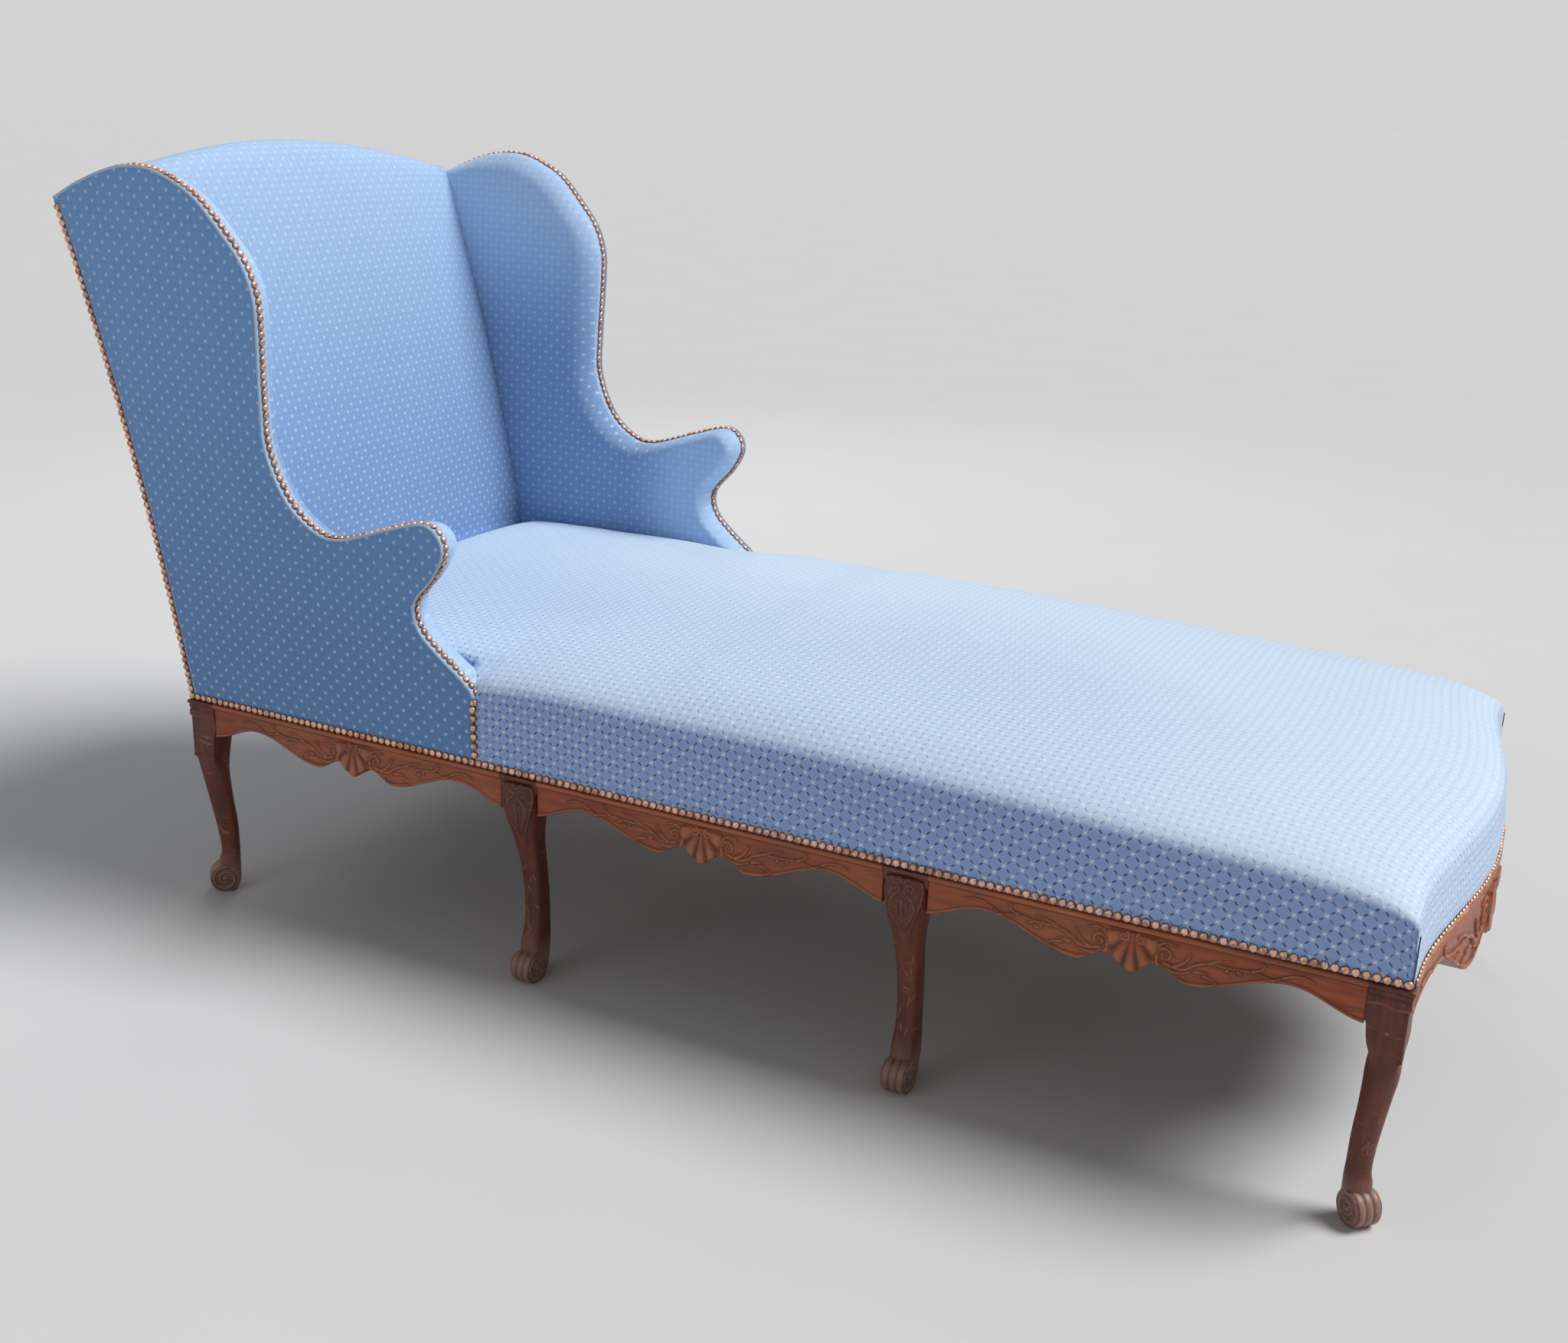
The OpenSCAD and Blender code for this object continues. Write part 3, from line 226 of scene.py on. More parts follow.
class Build:
    """Points, faces and per-point values of one piece, gathered part by part."""

    def __init__(self):
        self.p, self.f, self.uv, self.a = [], [], [], {}
        self.count = 0

    def add(self, points, faces, uv=None, **values):
        points = np.asarray(points, float).reshape(-1, 3)
        n = len(points)
        self.p.append(points)
        self.f += [tuple(i + self.count for i in f) for f in faces]
        self.uv.append(np.zeros((n, 2)) if uv is None else np.asarray(uv, float).reshape(-1, 2))
        for name in sorted(set(values) | set(self.a)):
            old = self.a.setdefault(name, [np.zeros(len(q)) for q in self.p[:-1]])
            old.append(np.broadcast_to(np.ravel(values.get(name, 0.0)).astype(float), (n,)))
        self.count += n

    def grid(self, points, uv=None, flip=False, wrap=False, **values):
        """A net of points; a wrapped one also joins its last column to its first."""
        shape = points.shape[:2]
        self.add(points, grid_faces(*shape, flip, wrap), uv,
                 **{name: np.broadcast_to(v, shape) for name, v in values.items()})

    def body(self, rings, flip=False, **values):
        """Rings joined one to the next, with a face over each end."""
        first, size, turn = self.count, rings.shape[1], 1 if flip else -1
        self.grid(rings, None, flip, True, **values)
        self.f += [tuple(range(first, first + size))[::turn],
                   tuple(range(self.count - size, self.count))[::-turn]]

    def make(self, name, material, weld=0.0, flat=False):
        name = name + "_look" if name in nodes else name
        mesh = bpy.data.meshes.new(name)
        mesh.from_pydata((np.concatenate(self.p) * MM).tolist(), [], self.f)
        index = read(mesh.loops, "vertex_index", 1, np.int32)[:, 0]
        layer = mesh.uv_layers.new(name="pattern")
        layer.data.foreach_set("uv", np.concatenate(self.uv)[index].astype(np.float32).ravel())
        for key, parts in self.a.items():
            attribute = mesh.attributes.new(key, "FLOAT", "POINT")
            attribute.data.foreach_set("value", np.concatenate(parts).astype(np.float32))
        mesh.polygons.foreach_set("use_smooth", [not flat] * len(mesh.polygons))
        mesh.update()
        mesh.materials.append(material)
        obj = new_object(name, mesh)
        if weld:
            obj.modifiers.new("weld", "WELD").merge_threshold = weld * MM
            graph = bpy.context.evaluated_depsgraph_get()
            welded = bpy.data.meshes.new_from_object(obj.evaluated_get(graph), depsgraph=graph,
                                                     preserve_all_data_layers=True)
            obj.modifiers.clear()
            obj.data = welded
            bpy.data.meshes.remove(mesh)
        return obj


def tube(line, radius, sides):
    """Rings of a round bar along a line of points in space."""
    d = unit(np.gradient(line, axis=0))
    up = np.array([0.0, 0.0, 1.0]) if abs(d[0][2]) < 0.9 else np.array([1.0, 0.0, 0.0])
    side = np.zeros_like(d)
    for i in range(len(d)):
        up = side[i] = unit(up - (up @ d[i]) * d[i])
    cos, sin = (k[:, None] for k in around(sides))
    return line[:, None] + radius * (cos * side[:, None] + sin * np.cross(d, side)[:, None])


def ride(obj, slot, *replaced):
    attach(obj, "root")
    if replaced:
        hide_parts(*replaced)
    return obj


def cord(name, lines, radius, sides, material):
    build = Build()
    for line in lines:
        build.body(tube(line, radius, sides))
    ride(build.make(name, material), "figured_cover")


# Materials

class Nodes:
    """A node tree, written as calls: each call adds a node and returns one of its outputs."""

    def __init__(self, tree):
        self.tree = tree

    def put(self, socket, value):
        if isinstance(value, bpy.types.NodeSocket):
            self.tree.links.new(value, socket)
        else:
            socket.default_value = value

    def node(self, kind, *values, out=0, named=None, **settings):
        n = self.tree.nodes.new("ShaderNode" + kind)
        for key, value in settings.items():
            setattr(n, key, value)
        for key, value in [*enumerate(values), *(named or {}).items()]:
            self.put(n.inputs[key], value)
        return n.outputs[out]

    def math(self, operation, *values):
        return self.node("Math", *values, operation=operation)

    def times(self, a, b):
        return self.math("MULTIPLY", a, b)

    def plus(self, a, b):
        return self.math("ADD", a, b)

    def vector(self, operation, a, b):
        return self.node("VectorMath", a, b, operation=operation)

    def ramp(self, value, low, high, a=0.0, b=1.0):
        return self.node("MapRange", value, low, high, a, b, interpolation_type="SMOOTHSTEP")

    def mix(self, share, a, b):
        return self.node("Mix", out=2, named={0: share, 6: a, 7: b}, data_type="RGBA")

    def value(self, name):
        return self.node("Attribute", attribute_name=name, out=2)

    def noise(self, where, scale, detail=3.0, rough=0.5, out=0):
        return self.node("TexNoise", where, out=out,
                         named={"Scale": scale, "Detail": detail, "Roughness": rough})

    def object_place(self, scale=(1, 1, 1)):
        return self.node("Mapping", self.node("TexCoord", out="Object"), named={"Scale": scale})


class Shader(Nodes):
    """The nodes of a new material."""

    def __init__(self, name):
        self.material = bpy.data.materials.new(name)
        self.material.use_nodes = True
        super().__init__(self.material.node_tree)
        self.tree.nodes.clear()
        out = self.tree.nodes.new("ShaderNodeOutputMaterial")
        self.bsdf = self.tree.nodes.new("ShaderNodeBsdfPrincipled")
        self.put(out.inputs[0], self.bsdf.outputs[0])

    def done(self, color, rough, height=None, distance=0.0005, strength=1.0, **sockets):
        for key, value in {"Base_Color": color, "Roughness": rough, **sockets}.items():
            self.put(self.bsdf.inputs[key.replace("_", " ")], value)
        if height is not None:
            bump = {"Strength": strength, "Distance": distance, "Height": height}
            self.put(self.bsdf.inputs["Normal"], self.node("Bump", named=bump))
        return self.material


def rgb(r, g, b):
    """A colour on the screen's scale, 0 to 255, as the shader's linear colour."""
    return tuple(((c / 255 + 0.055) / 1.055) ** 2.4 for c in (r, g, b)) + (1.0,)


REPEAT = (22.4, 21.2)   # width and height of one repeat of the woven diamonds


def figured(name, ground, deep, spot, dash, mark, dashes):
    """The figured weave: pale spots on a diamond net, with dark dashes on its lines.
    A value of the mesh is painted shade: at 0 the cloth takes the ground colour, as lit, and at 1 the deep
    one, as shaded; the dashes are faint where it is painted lit and strong in the painted shade."""
    s = Shader(name)
    warp = s.vector("SUBTRACT", s.noise(s.object_place(), 6.0, 2.0, out=1), (0.5, 0.5, 0.5))
    uv = s.vector("ADD", s.node("UVMap", uv_map="pattern"), s.vector("MULTIPLY", warp, (2.6, 2.6, 0.0)))
    u, v = (s.math("DIVIDE", s.node("SeparateXYZ", uv, out=k), REPEAT[k]) for k in (0, 1))
    a, b = (s.math("PINGPONG", s.math(way, u, v), 0.5) for way in ("ADD", "SUBTRACT"))
    near = s.math("SQRT", s.plus(s.times(a, a), s.times(b, b)))
    spots = s.ramp(near, 0.075, 0.15, 1.0, 0.0)
    along = s.math("MAXIMUM", a, b)
    on_line = s.ramp(s.math("MINIMUM", a, b), 0.045, 0.095, 1.0, 0.0)
    arms = s.times(on_line, s.ramp(along, 0.2, 0.26, 1.0, 0.0))
    dashed = s.times(on_line, s.ramp(along, 0.29, 0.36))
    dashed = s.times(dashed, s.ramp(s.noise(uv, 0.09, 1.0), 0.3, 0.6, 0.45, 1.0))
    cloud = s.math("SUBTRACT", s.noise(s.object_place(), 3.2), 0.5)
    # painted shade from the mesh, mottled with a random cloud
    tone = s.plus(s.value("tone"), s.times(cloud, 0.12))
    thread = s.node("TexWave", s.vector("MULTIPLY", uv, (1.0, 0.06, 1.0)), bands_direction="X",
                    named={"Scale": 0.42, "Distortion": 0.6, "Detail": 1.0})
    strong = s.times(s.plus(s.times(tone, dashes[1] - dashes[0]), dashes[0]), dashed)
    color = s.mix(tone, ground, deep)
    for share, laid in ((s.times(thread, 0.05), spot), (s.times(arms, mark * 0.45), spot), (strong, dash),
                        (s.times(spots, mark), spot)):
        color = s.mix(share, color, laid)
    raised = s.plus(s.plus(s.times(spots, 0.9), s.times(dashed, -0.7)), s.times(thread, 0.25))
    return s.done(color, s.ramp(spots, 0.0, 1.0, 0.74, 0.55), raised, 0.0003, 0.8, Sheen_Weight=0.35,
                  Sheen_Roughness=0.45, Sheen_Tint=(0.8, 0.88, 1.0, 1.0), Specular_IOR_Level=0.3)


def plain_cloth(name, color, dark, scale=900.0):
    s = Shader(name)
    place = s.object_place()
    weave = s.node("TexWave", place, bands_direction="DIAGONAL",
                   named={"Scale": scale, "Distortion": 1.5, "Detail": 1.0})
    share = s.plus(s.times(weave, 0.3), s.times(s.noise(place, 9.0), 0.5))
    return s.done(s.mix(share, color, dark), 0.85, weave, 0.0003, 0.6, Sheen_Weight=0.25,
                  Specular_IOR_Level=0.2)


def wood(name, color, dark, pale, grain=(1.6, 22.0, 22.0), rough=(0.32, 0.5), scratches=0.0, foot=0.0):
    """Polished wood: grain along the first axis, painted shade in the carving's hollows and painted
    highlights on its raised parts, which also show their rubbed wear. low, a value of the mesh, is that
    painted shade, high the painted highlight with the wear and the pale of scratches, and worn how bare the
    wood is."""
    s = Shader(name)
    place = s.object_place(grain)
    bands = s.noise(place, 5.0, 5.0, 0.62)
    fine = s.noise(place, 26.0, 4.0, 0.6)
    broad = s.noise(s.object_place(), 2.6, 2.0)
    # over the grain, the value high lays painted highlight and wear, and low, last, painted shade
    layers = [(s.times(s.ramp(fine, 0.5, 0.75), 0.45), dark),
              (s.times(s.ramp(broad, 0.45, 0.75), 0.3), pale),
              (s.times(s.value("high"), 0.6), pale)]
    if scratches:
        marks = s.noise(s.object_place((9.0, 9.0, 60.0)), 4.0, 6.0, 0.75)
        layers.append((s.times(s.ramp(marks, 0.6, 0.68), scratches), rgb(196, 158, 140)))
    if foot:
        layers.append((s.times(s.value("worn"), foot), rgb(170, 140, 126)))
    layers.append((s.times(s.value("low"), 0.85), rgb(44, 20, 13)))
    base = s.mix(s.ramp(bands, 0.3, 0.7), color, dark)
    for share, laid in layers:
        base = s.mix(share, base, laid)
    height = s.plus(s.times(fine, 0.5), s.times(bands, 0.5))
    return s.done(base, s.ramp(fine, 0.2, 0.9, *rough), height, 0.0004, 0.35, Coat_Weight=0.12,
                  Coat_Roughness=0.3, Specular_IOR_Level=0.35)


def metal(name, color, dark):
    s = Shader(name)
    place = s.object_place()
    spots, cloud = s.noise(place, 260.0, 2.0), s.noise(place, 60.0)
    spotted = s.ramp(s.plus(s.times(spots, 0.5), s.times(cloud, 0.5)), 0.42, 0.62)
    # painted shade under the heads and in the gaps between them, from the mesh's value low
    base = s.mix(s.value("low"), s.mix(spotted, color, dark), rgb(52, 30, 22))
    return s.done(base, s.ramp(cloud, 0.3, 0.7, 0.3, 0.45), spots, 0.0002, 0.3, Metallic=0.9)


# one weave in three copies, whose colours differ by painted light and shade: the seat's paler as lit from
# above, the outside one darker as turned from the light, the inside one between
COVER = figured("figured_cover", rgb(212, 234, 255), rgb(144, 174, 224), rgb(244, 252, 255),
                rgb(48, 66, 108), 0.6, (0.22, 0.9))
INSIDE = figured("figured_inside", rgb(181, 212, 248), rgb(114, 148, 196), rgb(214, 236, 255),
                 rgb(84, 112, 160), 0.5, (0.15, 0.3))
OUTSIDE = figured("figured_outside", rgb(111, 158, 213), rgb(80, 121, 174), rgb(182, 210, 238),
                  rgb(62, 88, 130), 0.8, (0.08, 0.2))
WELT = plain_cloth("welt_cloth", rgb(196, 214, 236), rgb(150, 176, 210))
RAIL_WOOD = wood("rail_wood", rgb(168, 80, 38), rgb(119, 50, 26), rgb(202, 128, 84))
LEG_WOOD = wood("leg_wood", rgb(110, 49, 30), rgb(79, 34, 21), rgb(152, 92, 66), (22.0, 22.0, 1.8),
                (0.34, 0.52), 0.5, 0.55)
HIDDEN_WOOD = wood("sawn_wood", rgb(196, 160, 116), rgb(160, 122, 82), rgb(214, 184, 144))
WEBBING = plain_cloth("jute", rgb(176, 150, 112), rgb(120, 96, 66), 500.0)
SEAM = plain_cloth("seam_thread", rgb(70, 92, 132), rgb(44, 60, 96))
CANVAS = plain_cloth("canvas", rgb(190, 174, 140), rgb(150, 134, 100))
DUST = plain_cloth("dust_cloth", rgb(58, 58, 62), rgb(36, 36, 40))
STEEL = metal("spring_steel", rgb(150, 150, 152), rgb(96, 96, 98))
NAIL = metal("nail_bronze", rgb(226, 182, 158), rgb(168, 116, 92))


# Camera, floor and light

# The photo's camera: its focal length and width in pixels, its bearing, height and roll in degrees,
# and its place in metres
FOCAL, PHOTO_WIDTH, SENSOR = 2303.74, 2048, 36.0
BEARING, ELEVATION, ROLL = 26.442, 18.591, 1.973
CAMERA_PLACE = (1.048263, -2.16447, 1.18254)


def camera():
    data = bpy.data.cameras.new("camera")
    data.sensor_width, data.lens = SENSOR, FOCAL * SENSOR / PHOTO_WIDTH
    data.clip_start, data.clip_end = 0.05, 200.0
    obj = new_object("camera", data)
    az, el, roll = math.radians(BEARING), math.radians(ELEVATION), math.radians(ROLL)
    back = Vector((math.sin(az) * math.cos(el), -math.cos(az) * math.cos(el), math.sin(el)))
    right = (-back).cross(Vector((0, 0, 1))).normalized()
    up = right.cross(-back)
    across = math.cos(roll) * right + math.sin(roll) * up
    above = -math.sin(roll) * right + math.cos(roll) * up
    turned = Matrix((across, above, back)).transposed().to_4x4()
    obj.matrix_world = Matrix.Translation(CAMERA_PLACE) @ turned
    bpy.context.scene.camera = obj


def light(name, kind, toward, energy, **settings):
    """A light that shines from where toward points."""
    data = bpy.data.lights.new(name, kind)
    data.energy = energy
    for key, value in settings.items():
        setattr(data, key, value)
    obj = new_object(name, data)
    obj.rotation_euler = Vector(toward).to_track_quat("Z", "Y").to_euler()
    return obj


# The floor's two greys and its size, the world's grey as light and as the camera sees it, the sun's
# way, strength and spread, and each lamp's place, the height it aims at, its size and its power
FLOOR_GREYS = (0.703, 0.703, 0.703, 1), (0.713, 0.713, 0.713, 1)
FLOOR_REACH, FLOOR_SIDES, FLOOR_Z = 70000.0, 40, -0.2
WORLD_LIGHT, WORLD_SEEN = (0.2, 0.2, 0.205, 1), (0.646, 0.646, 0.648, 1)
SUN = (0.55, 0.25, 0.8), 2.68, 30
LAMPS = [("fill", (-1.5, -4.0, 1.8), 0.4, 2.4, 12), ("back", (-1.8, 2.6, 2.4), 0.5, 2.0, 13)]


def setting():
    scene = bpy.context.scene
    scene.view_settings.view_transform = "Standard"
    s = Shader("floor_paint")
    s.done(s.mix(s.ramp(s.noise(s.object_place(), 3.0, 4.0), 0.3, 0.7), *FLOOR_GREYS), 0.9)
    cos, sin = around(FLOOR_SIDES)
    build = Build()
    build.add(stack(FLOOR_REACH * cos, FLOOR_REACH * sin, FLOOR_Z), [tuple(range(FLOOR_SIDES))])
    build.make("floor", s.material, flat=True)
    scene.world = bpy.data.worlds.new("world")
    scene.world.use_nodes = True
    w = Nodes(scene.world.node_tree)
    back = w.tree.nodes["Background"]
    rays = w.tree.nodes.new("ShaderNodeLightPath").outputs
    seen = w.math("MAXIMUM", w.math("MAXIMUM", rays["Is Camera Ray"], rays["Is Glossy Ray"]),
                  rays["Is Transmission Ray"])
    w.put(back.inputs[0], w.mix(seen, WORLD_LIGHT, WORLD_SEEN))
    w.put(back.inputs[1], 1.0)
    way, strength, spread = SUN
    light("key", "SUN", way, strength, angle=math.radians(spread))
    for name, place, height, size, power in LAMPS:
        toward = Vector(place) - Vector((0.0, 0.0, height))
        light(name, "AREA", toward, power, shape="DISK", size=size).location = place


# Upholstery

def grid_normals(p):
    return unit(np.cross(np.gradient(p, axis=0), np.gradient(p, axis=1)))


def close_below(obj):
    """Turns the open lower edge of the seat's cover in, then up, and closes it with a flat face."""
    mesh = bmesh.new()
    mesh.from_mesh(obj.data)
    edges = [e for e in mesh.edges if e.is_boundary]
    for turned_up in (False, True):
        made = bmesh.ops.extrude_edge_only(mesh, edges=edges)["geom"]
        for v in (g for g in made if isinstance(g, bmesh.types.BMVert)):
            if turned_up:
                v.co.z = max(v.co.z, (RAIL_TOP + 3) * MM)
            else:
                v.co.x -= math.copysign(LAP * MM, v.co.x) * (abs(v.co.x) > 0.7)
                v.co.y -= math.copysign(LAP * MM, v.co.y)
        edges = [g for g in made if isinstance(g, bmesh.types.BMEdge) and g.is_boundary]
    bmesh.ops.holes_fill(mesh, edges=edges, sides=0)
    mesh.to_mesh(obj.data)
    mesh.free()


CLOTH_FRAMES = 20
CLOTH = dict(quality=5, mass=0.3, tension_stiffness=15.0, compression_stiffness=15.0, shear_stiffness=5.0,
             bending_stiffness=0.4, vertex_group_mass="held", use_pressure=True)


def swell(obj, held, pressure, limit):
    """Cloth under pressure: points held at 1 stay, and none moves further than the limit."""
    mesh = obj.data
    rest = read(mesh.vertices, "co")
    group = obj.vertex_groups.new(name="held")
    for i, w in enumerate(held):
        if w > 0:
            group.add([i], float(w), "REPLACE")
    cloth = obj.modifiers.new("cloth", "CLOTH")
    for key, value in CLOTH.items():
        setattr(cloth.settings, key, value)
    cloth.settings.uniform_pressure_force = pressure
    cloth.settings.effector_weights.gravity = 0.0
    cloth.collision_settings.use_collision = False
    cloth.collision_settings.use_self_collision = False
    cloth.point_cache.frame_start, cloth.point_cache.frame_end = 1, CLOTH_FRAMES
    scene = bpy.context.scene
    for k in range(1, CLOTH_FRAMES + 1):
        scene.frame_set(k)
    graph = bpy.context.evaluated_depsgraph_get()
    step = read(obj.evaluated_get(graph).to_mesh().vertices, "co") - rest
    obj.evaluated_get(graph).to_mesh_clear()
    obj.modifiers.clear()
    obj.vertex_groups.clear()
    scene.frame_set(1)
    a, b = read(mesh.edges, "vertices", 2, np.int32).T
    joined = np.bincount(np.concatenate([a, b]), minlength=len(rest))[:, None]
    for _ in range(30):
        near = np.zeros_like(step)
        np.add.at(near, a, step[b])
        np.add.at(near, b, step[a])
        step = (step + near / np.maximum(joined, 1)) / 2 * (np.asarray(held)[:, None] < 1)
    size = np.linalg.norm(step, axis=1)
    cap = limit * MM * np.tanh(size / (limit * MM)) / np.maximum(size, 1e-9)
    mesh.vertices.foreach_set("co", (rest + step * cap[:, None]).ravel())
    mesh.update()


SEAT_ROWS, SEAT_HALF_COLUMNS, WALL_ROWS = 168, 47, 9
EDGE_WELT_R, REAR_WELT_R, SEAM_R = 1.9, 0.9, 0.8


def seat_cover():
    dense = np.concatenate([np.linspace(SEAT_REAR, 1400, 500), np.linspace(1401, 1700, 900)])
    length = run(stack(dense, seat_z(dense, 0)))
    xs = np.interp(np.linspace(0, length[-1], SEAT_ROWS), length, dense)
    v = 1 - (1 - np.linspace(0, 1, 400)) ** 3
    s = run(stack(v * HALF_W, seat_z(1000.0, v)))
    half = np.interp(np.linspace(0, s[-1], SEAT_HALF_COLUMNS), s, v)
    vs = np.concatenate([-half[:0:-1], half])
    x, vv = np.meshgrid(xs, vs, indexing="ij")
    y, z = vv * HALF_W, seat_z(x, vv)
    # beside the arms the cover goes down into the gap, and in front of them it meets their faces
    for j in np.where(np.abs(vs) * HALF_W > SEAT_INSIDE)[0]:
        at = ARM_FRONT
        for _ in range(4):
            at = float(table(seat_z(at, vs[j]) - NAIL_Z, ARM_FACE)) + 0.9
        first = int(np.searchsorted(xs, at))
        x[first, j] = at
        x[first + 1, j] = (x[first, j] + x[first + 2, j]) / 2
        deep = abs(vs[j]) * HALF_W - SEAT_INSIDE
        y[:first, j] = np.sign(vs[j]) * SEAT_INSIDE
        z[:first, j] = seat_z(xs[:first], SEAT_INSIDE / HALF_W) - 22 - 0.9 * deep
        x[first - 1, j] = at - 0.7
        z[first:, j] -= 3 * np.exp(-(x[first:, j] - at) / 7)
    tucked = (np.abs(y) < SEAT_INSIDE + 0.1) & (np.abs(vv) * HALF_W > SEAT_INSIDE)
    from_arm = SEAT_INSIDE - np.minimum(np.abs(y), SEAT_INSIDE)
    z -= 7 * np.exp(-from_arm / 10) * smooth((512 - x) / 8) * ~tucked
    z -= 16 * np.exp(-np.maximum(x - post_front(z - NAIL_Z) - 46, 0) / 12)
    top = stack(seat_x(x, y), y, z)
    # the fabric's own lengths
    u = np.interp(x, dense, length)
    across = np.zeros(y.shape)
    across[:, 1:] = np.cumsum(np.hypot(np.diff(y, axis=1), np.diff(z, axis=1)), axis=1)
    across -= across[:, [len(vs) // 2]]
    share = np.arange(WALL_ROWS + 1) / WALL_ROWS
    walls, falls = [], []
    for j, sign in ((0, -1), (-1, 1)):
        edge_x, edge_y, edge_z = top[:, j].T[..., None]
        down = edge_z + (HEM_Z - edge_z) * share[1:]
        down[tucked[:, j]] = np.maximum(down[tucked[:, j]], RAIL_TOP + 4)
        walls.append(stack(edge_x, edge_y, down)[:, ::sign])
        falls.append((across[:, [j]] + sign * (edge_z - down))[:, ::sign])
    grid = np.concatenate([walls[0], top, walls[1]], axis=1)
    uv = stack(np.pad(u, ((0, 0), (WALL_ROWS, WALL_ROWS)), "edge"),
               np.concatenate([falls[0], across, falls[1]], axis=1))
    end_x, end_y, end_z = top[-1].T
    down = end_z + (HEM_Z - end_z) * share[:, None]
    foot = stack(end_x, end_y, down)
    for g in (grid, foot):
        qx = clamp(1 - (FRAME_LEN + bow_x(g[..., 1]) - g[..., 0]) / SEAT_CORNER)
        qy = clamp(1 - (HALF_W - np.abs(g[..., 1])) / SEAT_CORNER)
        long = np.maximum(np.hypot(qx, qy), 1e-6)
        pull = np.where((qx > 0) & (qy > 0), np.maximum(qx, qy) / long, 1.0)
        g[..., 0] += SEAT_CORNER * (qx * pull - qx)
        g[..., 1] += np.sign(g[..., 1]) * SEAT_CORNER * (qy * pull - qy)
    # painted shade: the walls are darker than the top, most on the long sides, and the top is painted lighter
    # towards the left and the foot end, darker elsewhere
    build = Build()
    for g, lengths in ((grid, uv), (foot, stack(u[-1, 0] + end_z - down, across[-1]))):
        normal = np.abs(grid_normals(g))
        side = normal[..., 1] / np.maximum(normal[..., 0] + normal[..., 1], 1e-6)
        wall = smooth((0.82 - normal[..., 2]) / 0.55)
        painted_light = clamp(smooth((g[..., 1] + 150) / 450) + 0.85 * smooth((g[..., 0] - 1100) / 450))
        tone = wall * np.where(side > 0.6, 1.0, 0.42) + 0.3 * (1 - wall) * (1 - painted_light)
        build.grid(g - (MID_X, 0, 0), lengths, True, tone=tone)
    obj = build.make("seat_cover", COVER, weld=0.02)
    x, _, z = (read(obj.data.vertices, "co") / MM).T
    held = np.maximum(smooth((NAIL_Z + 60 - z) / 20), smooth((900 - x - MID_X) / 400))
    swell(obj, np.maximum(held, x + MID_X < ARM_FRONT + 3), 4.0, 4.0)
    wrinkle(obj, SEAT_FOLDS, (0, 1), NAIL_Z + 70)
    close_below(obj)
    ride(obj, "figured_cover", "seat_cover", "seat_stuffing")
    seams = [to_world(FRAME_LEN - 1.5, -1.5, np.linspace(HEM_Z + 5, 366, 16), side) for side in (-1, 1)]
    cord("corner_seams", seams, SEAM_R, 6, SEAM)


def wrinkle(obj, creases, plane, above=0.0):
    """Moves the points higher than above along their normals by the creases."""
    mesh = obj.data
    p, normal = read(mesh.vertices, "co"), read(mesh.vertices, "normal")
    rise = folds(p / MM, creases, plane) * (p[:, 2] / MM > above)
    mesh.vertices.foreach_set("co", (p + normal * (rise * MM)[:, None]).ravel())
    mesh.update()


def crease(p, a, b, width, height, plane):
    """A fold from a to b, seen in the two axes given, that dies away at its ends."""
    a, b = np.array(a, float), np.array(b, float)
    q = p[:, list(plane)] - a
    d = b - a
    t = (q @ d) / (d @ d)
    away = (q @ np.array([-d[1], d[0]])) / math.sqrt(d @ d)
    fade = np.exp(-((t - 0.5) / 0.42) ** 4)
    return height * fade * (np.exp(-(away / width) ** 2)
                            - 0.6 * np.exp(-((away - 1.6 * width) / width) ** 2))


def folds(p, creases, plane=(0, 1)):
    return sum(crease(p, *each, plane) for each in creases)


# Drawn lines of the seat towards the back, of the back towards its corners, and puckers of the outer
# panel at the wing's neck, under the arm's scroll and by the rear corner: from, to, width and height
SEAT_FOLDS = [
    ((-690, -330), (-430, -60), 16, 1.0), ((-650, -345), (-330, -150), 14, 0.9),
    ((-690, 320), (-430, 40), 16, 0.9), ((-560, -345), (-250, -260), 12, 0.8),
    ((-690, -200), (-520, 40), 15, 0.7), ((-600, 345), (-300, 190), 14, 0.8)]
BACK_FOLDS = [
    ((-330, 480), (-180, 640), 11, 0.7), ((330, 480), (180, 640), 11, 0.7),
    ((-310, 1000), (-150, 930), 12, 0.6), ((310, 1000), (150, 930), 12, 0.6)]
PANEL_FOLDS = [
    ((178, 430), (120, 400), 5, 0.9), ((180, 470), (130, 455), 5, 0.7), ((225, 300), (200, 240), 6, 0.8),
    ((418, 200), (370, 190), 5, 0.9), ((430, 230), (385, 235), 5, 0.7), ((-150, 650), (-60, 640), 5, 1.2),
    ((184, 520), (140, 520), 5, 0.5), ((330, 270), (300, 215), 6, 0.6)]


def back_profile(v):
    """The back's outline at v of its half width: from the seat up the front and over the crest."""
    low = seat_z(63.0, v * 0.87) - NAIL_Z
    high = float(crest_h(v))
    w = np.concatenate([np.linspace(-0.08, 0.8, 34), np.linspace(0.82, 0.985, 16)])
    h = low + (high - low) * w
    top = np.maximum(1 - clamp((w - 0.86) / 0.14) ** 4, 0) ** 0.34
    thick = 20.7 - 12 * h / CREST_LOW
    side = max(1 - abs(v) ** 4, 0) ** 0.3
    crown = 22 * side * (0.4 + 0.6 * np.sin(np.pi * clamp(w)))
    under = np.exp(-((w + 0.03) / 0.05) ** 2) * 8
    front = stack(post_front(h) + 6.6 + (thick + crown) * top - under, h)
    over = np.array([
        [post_front(high) + 7, high + 0.6], [post_front(high) - 6, high + 1.2],
        [rear_x(high) + 12, high - 2.5], [rear_x(high - 10) + 1.5, high - 10],
        [rear_x(high - CREST_DROP) - 0.4, high - CREST_DROP - 2], [rear_x(high - 26) - 0.3, high - 28]])
    return np.concatenate([front[:-1], curve(np.concatenate([front[-2:], over]), 4)[4:]])


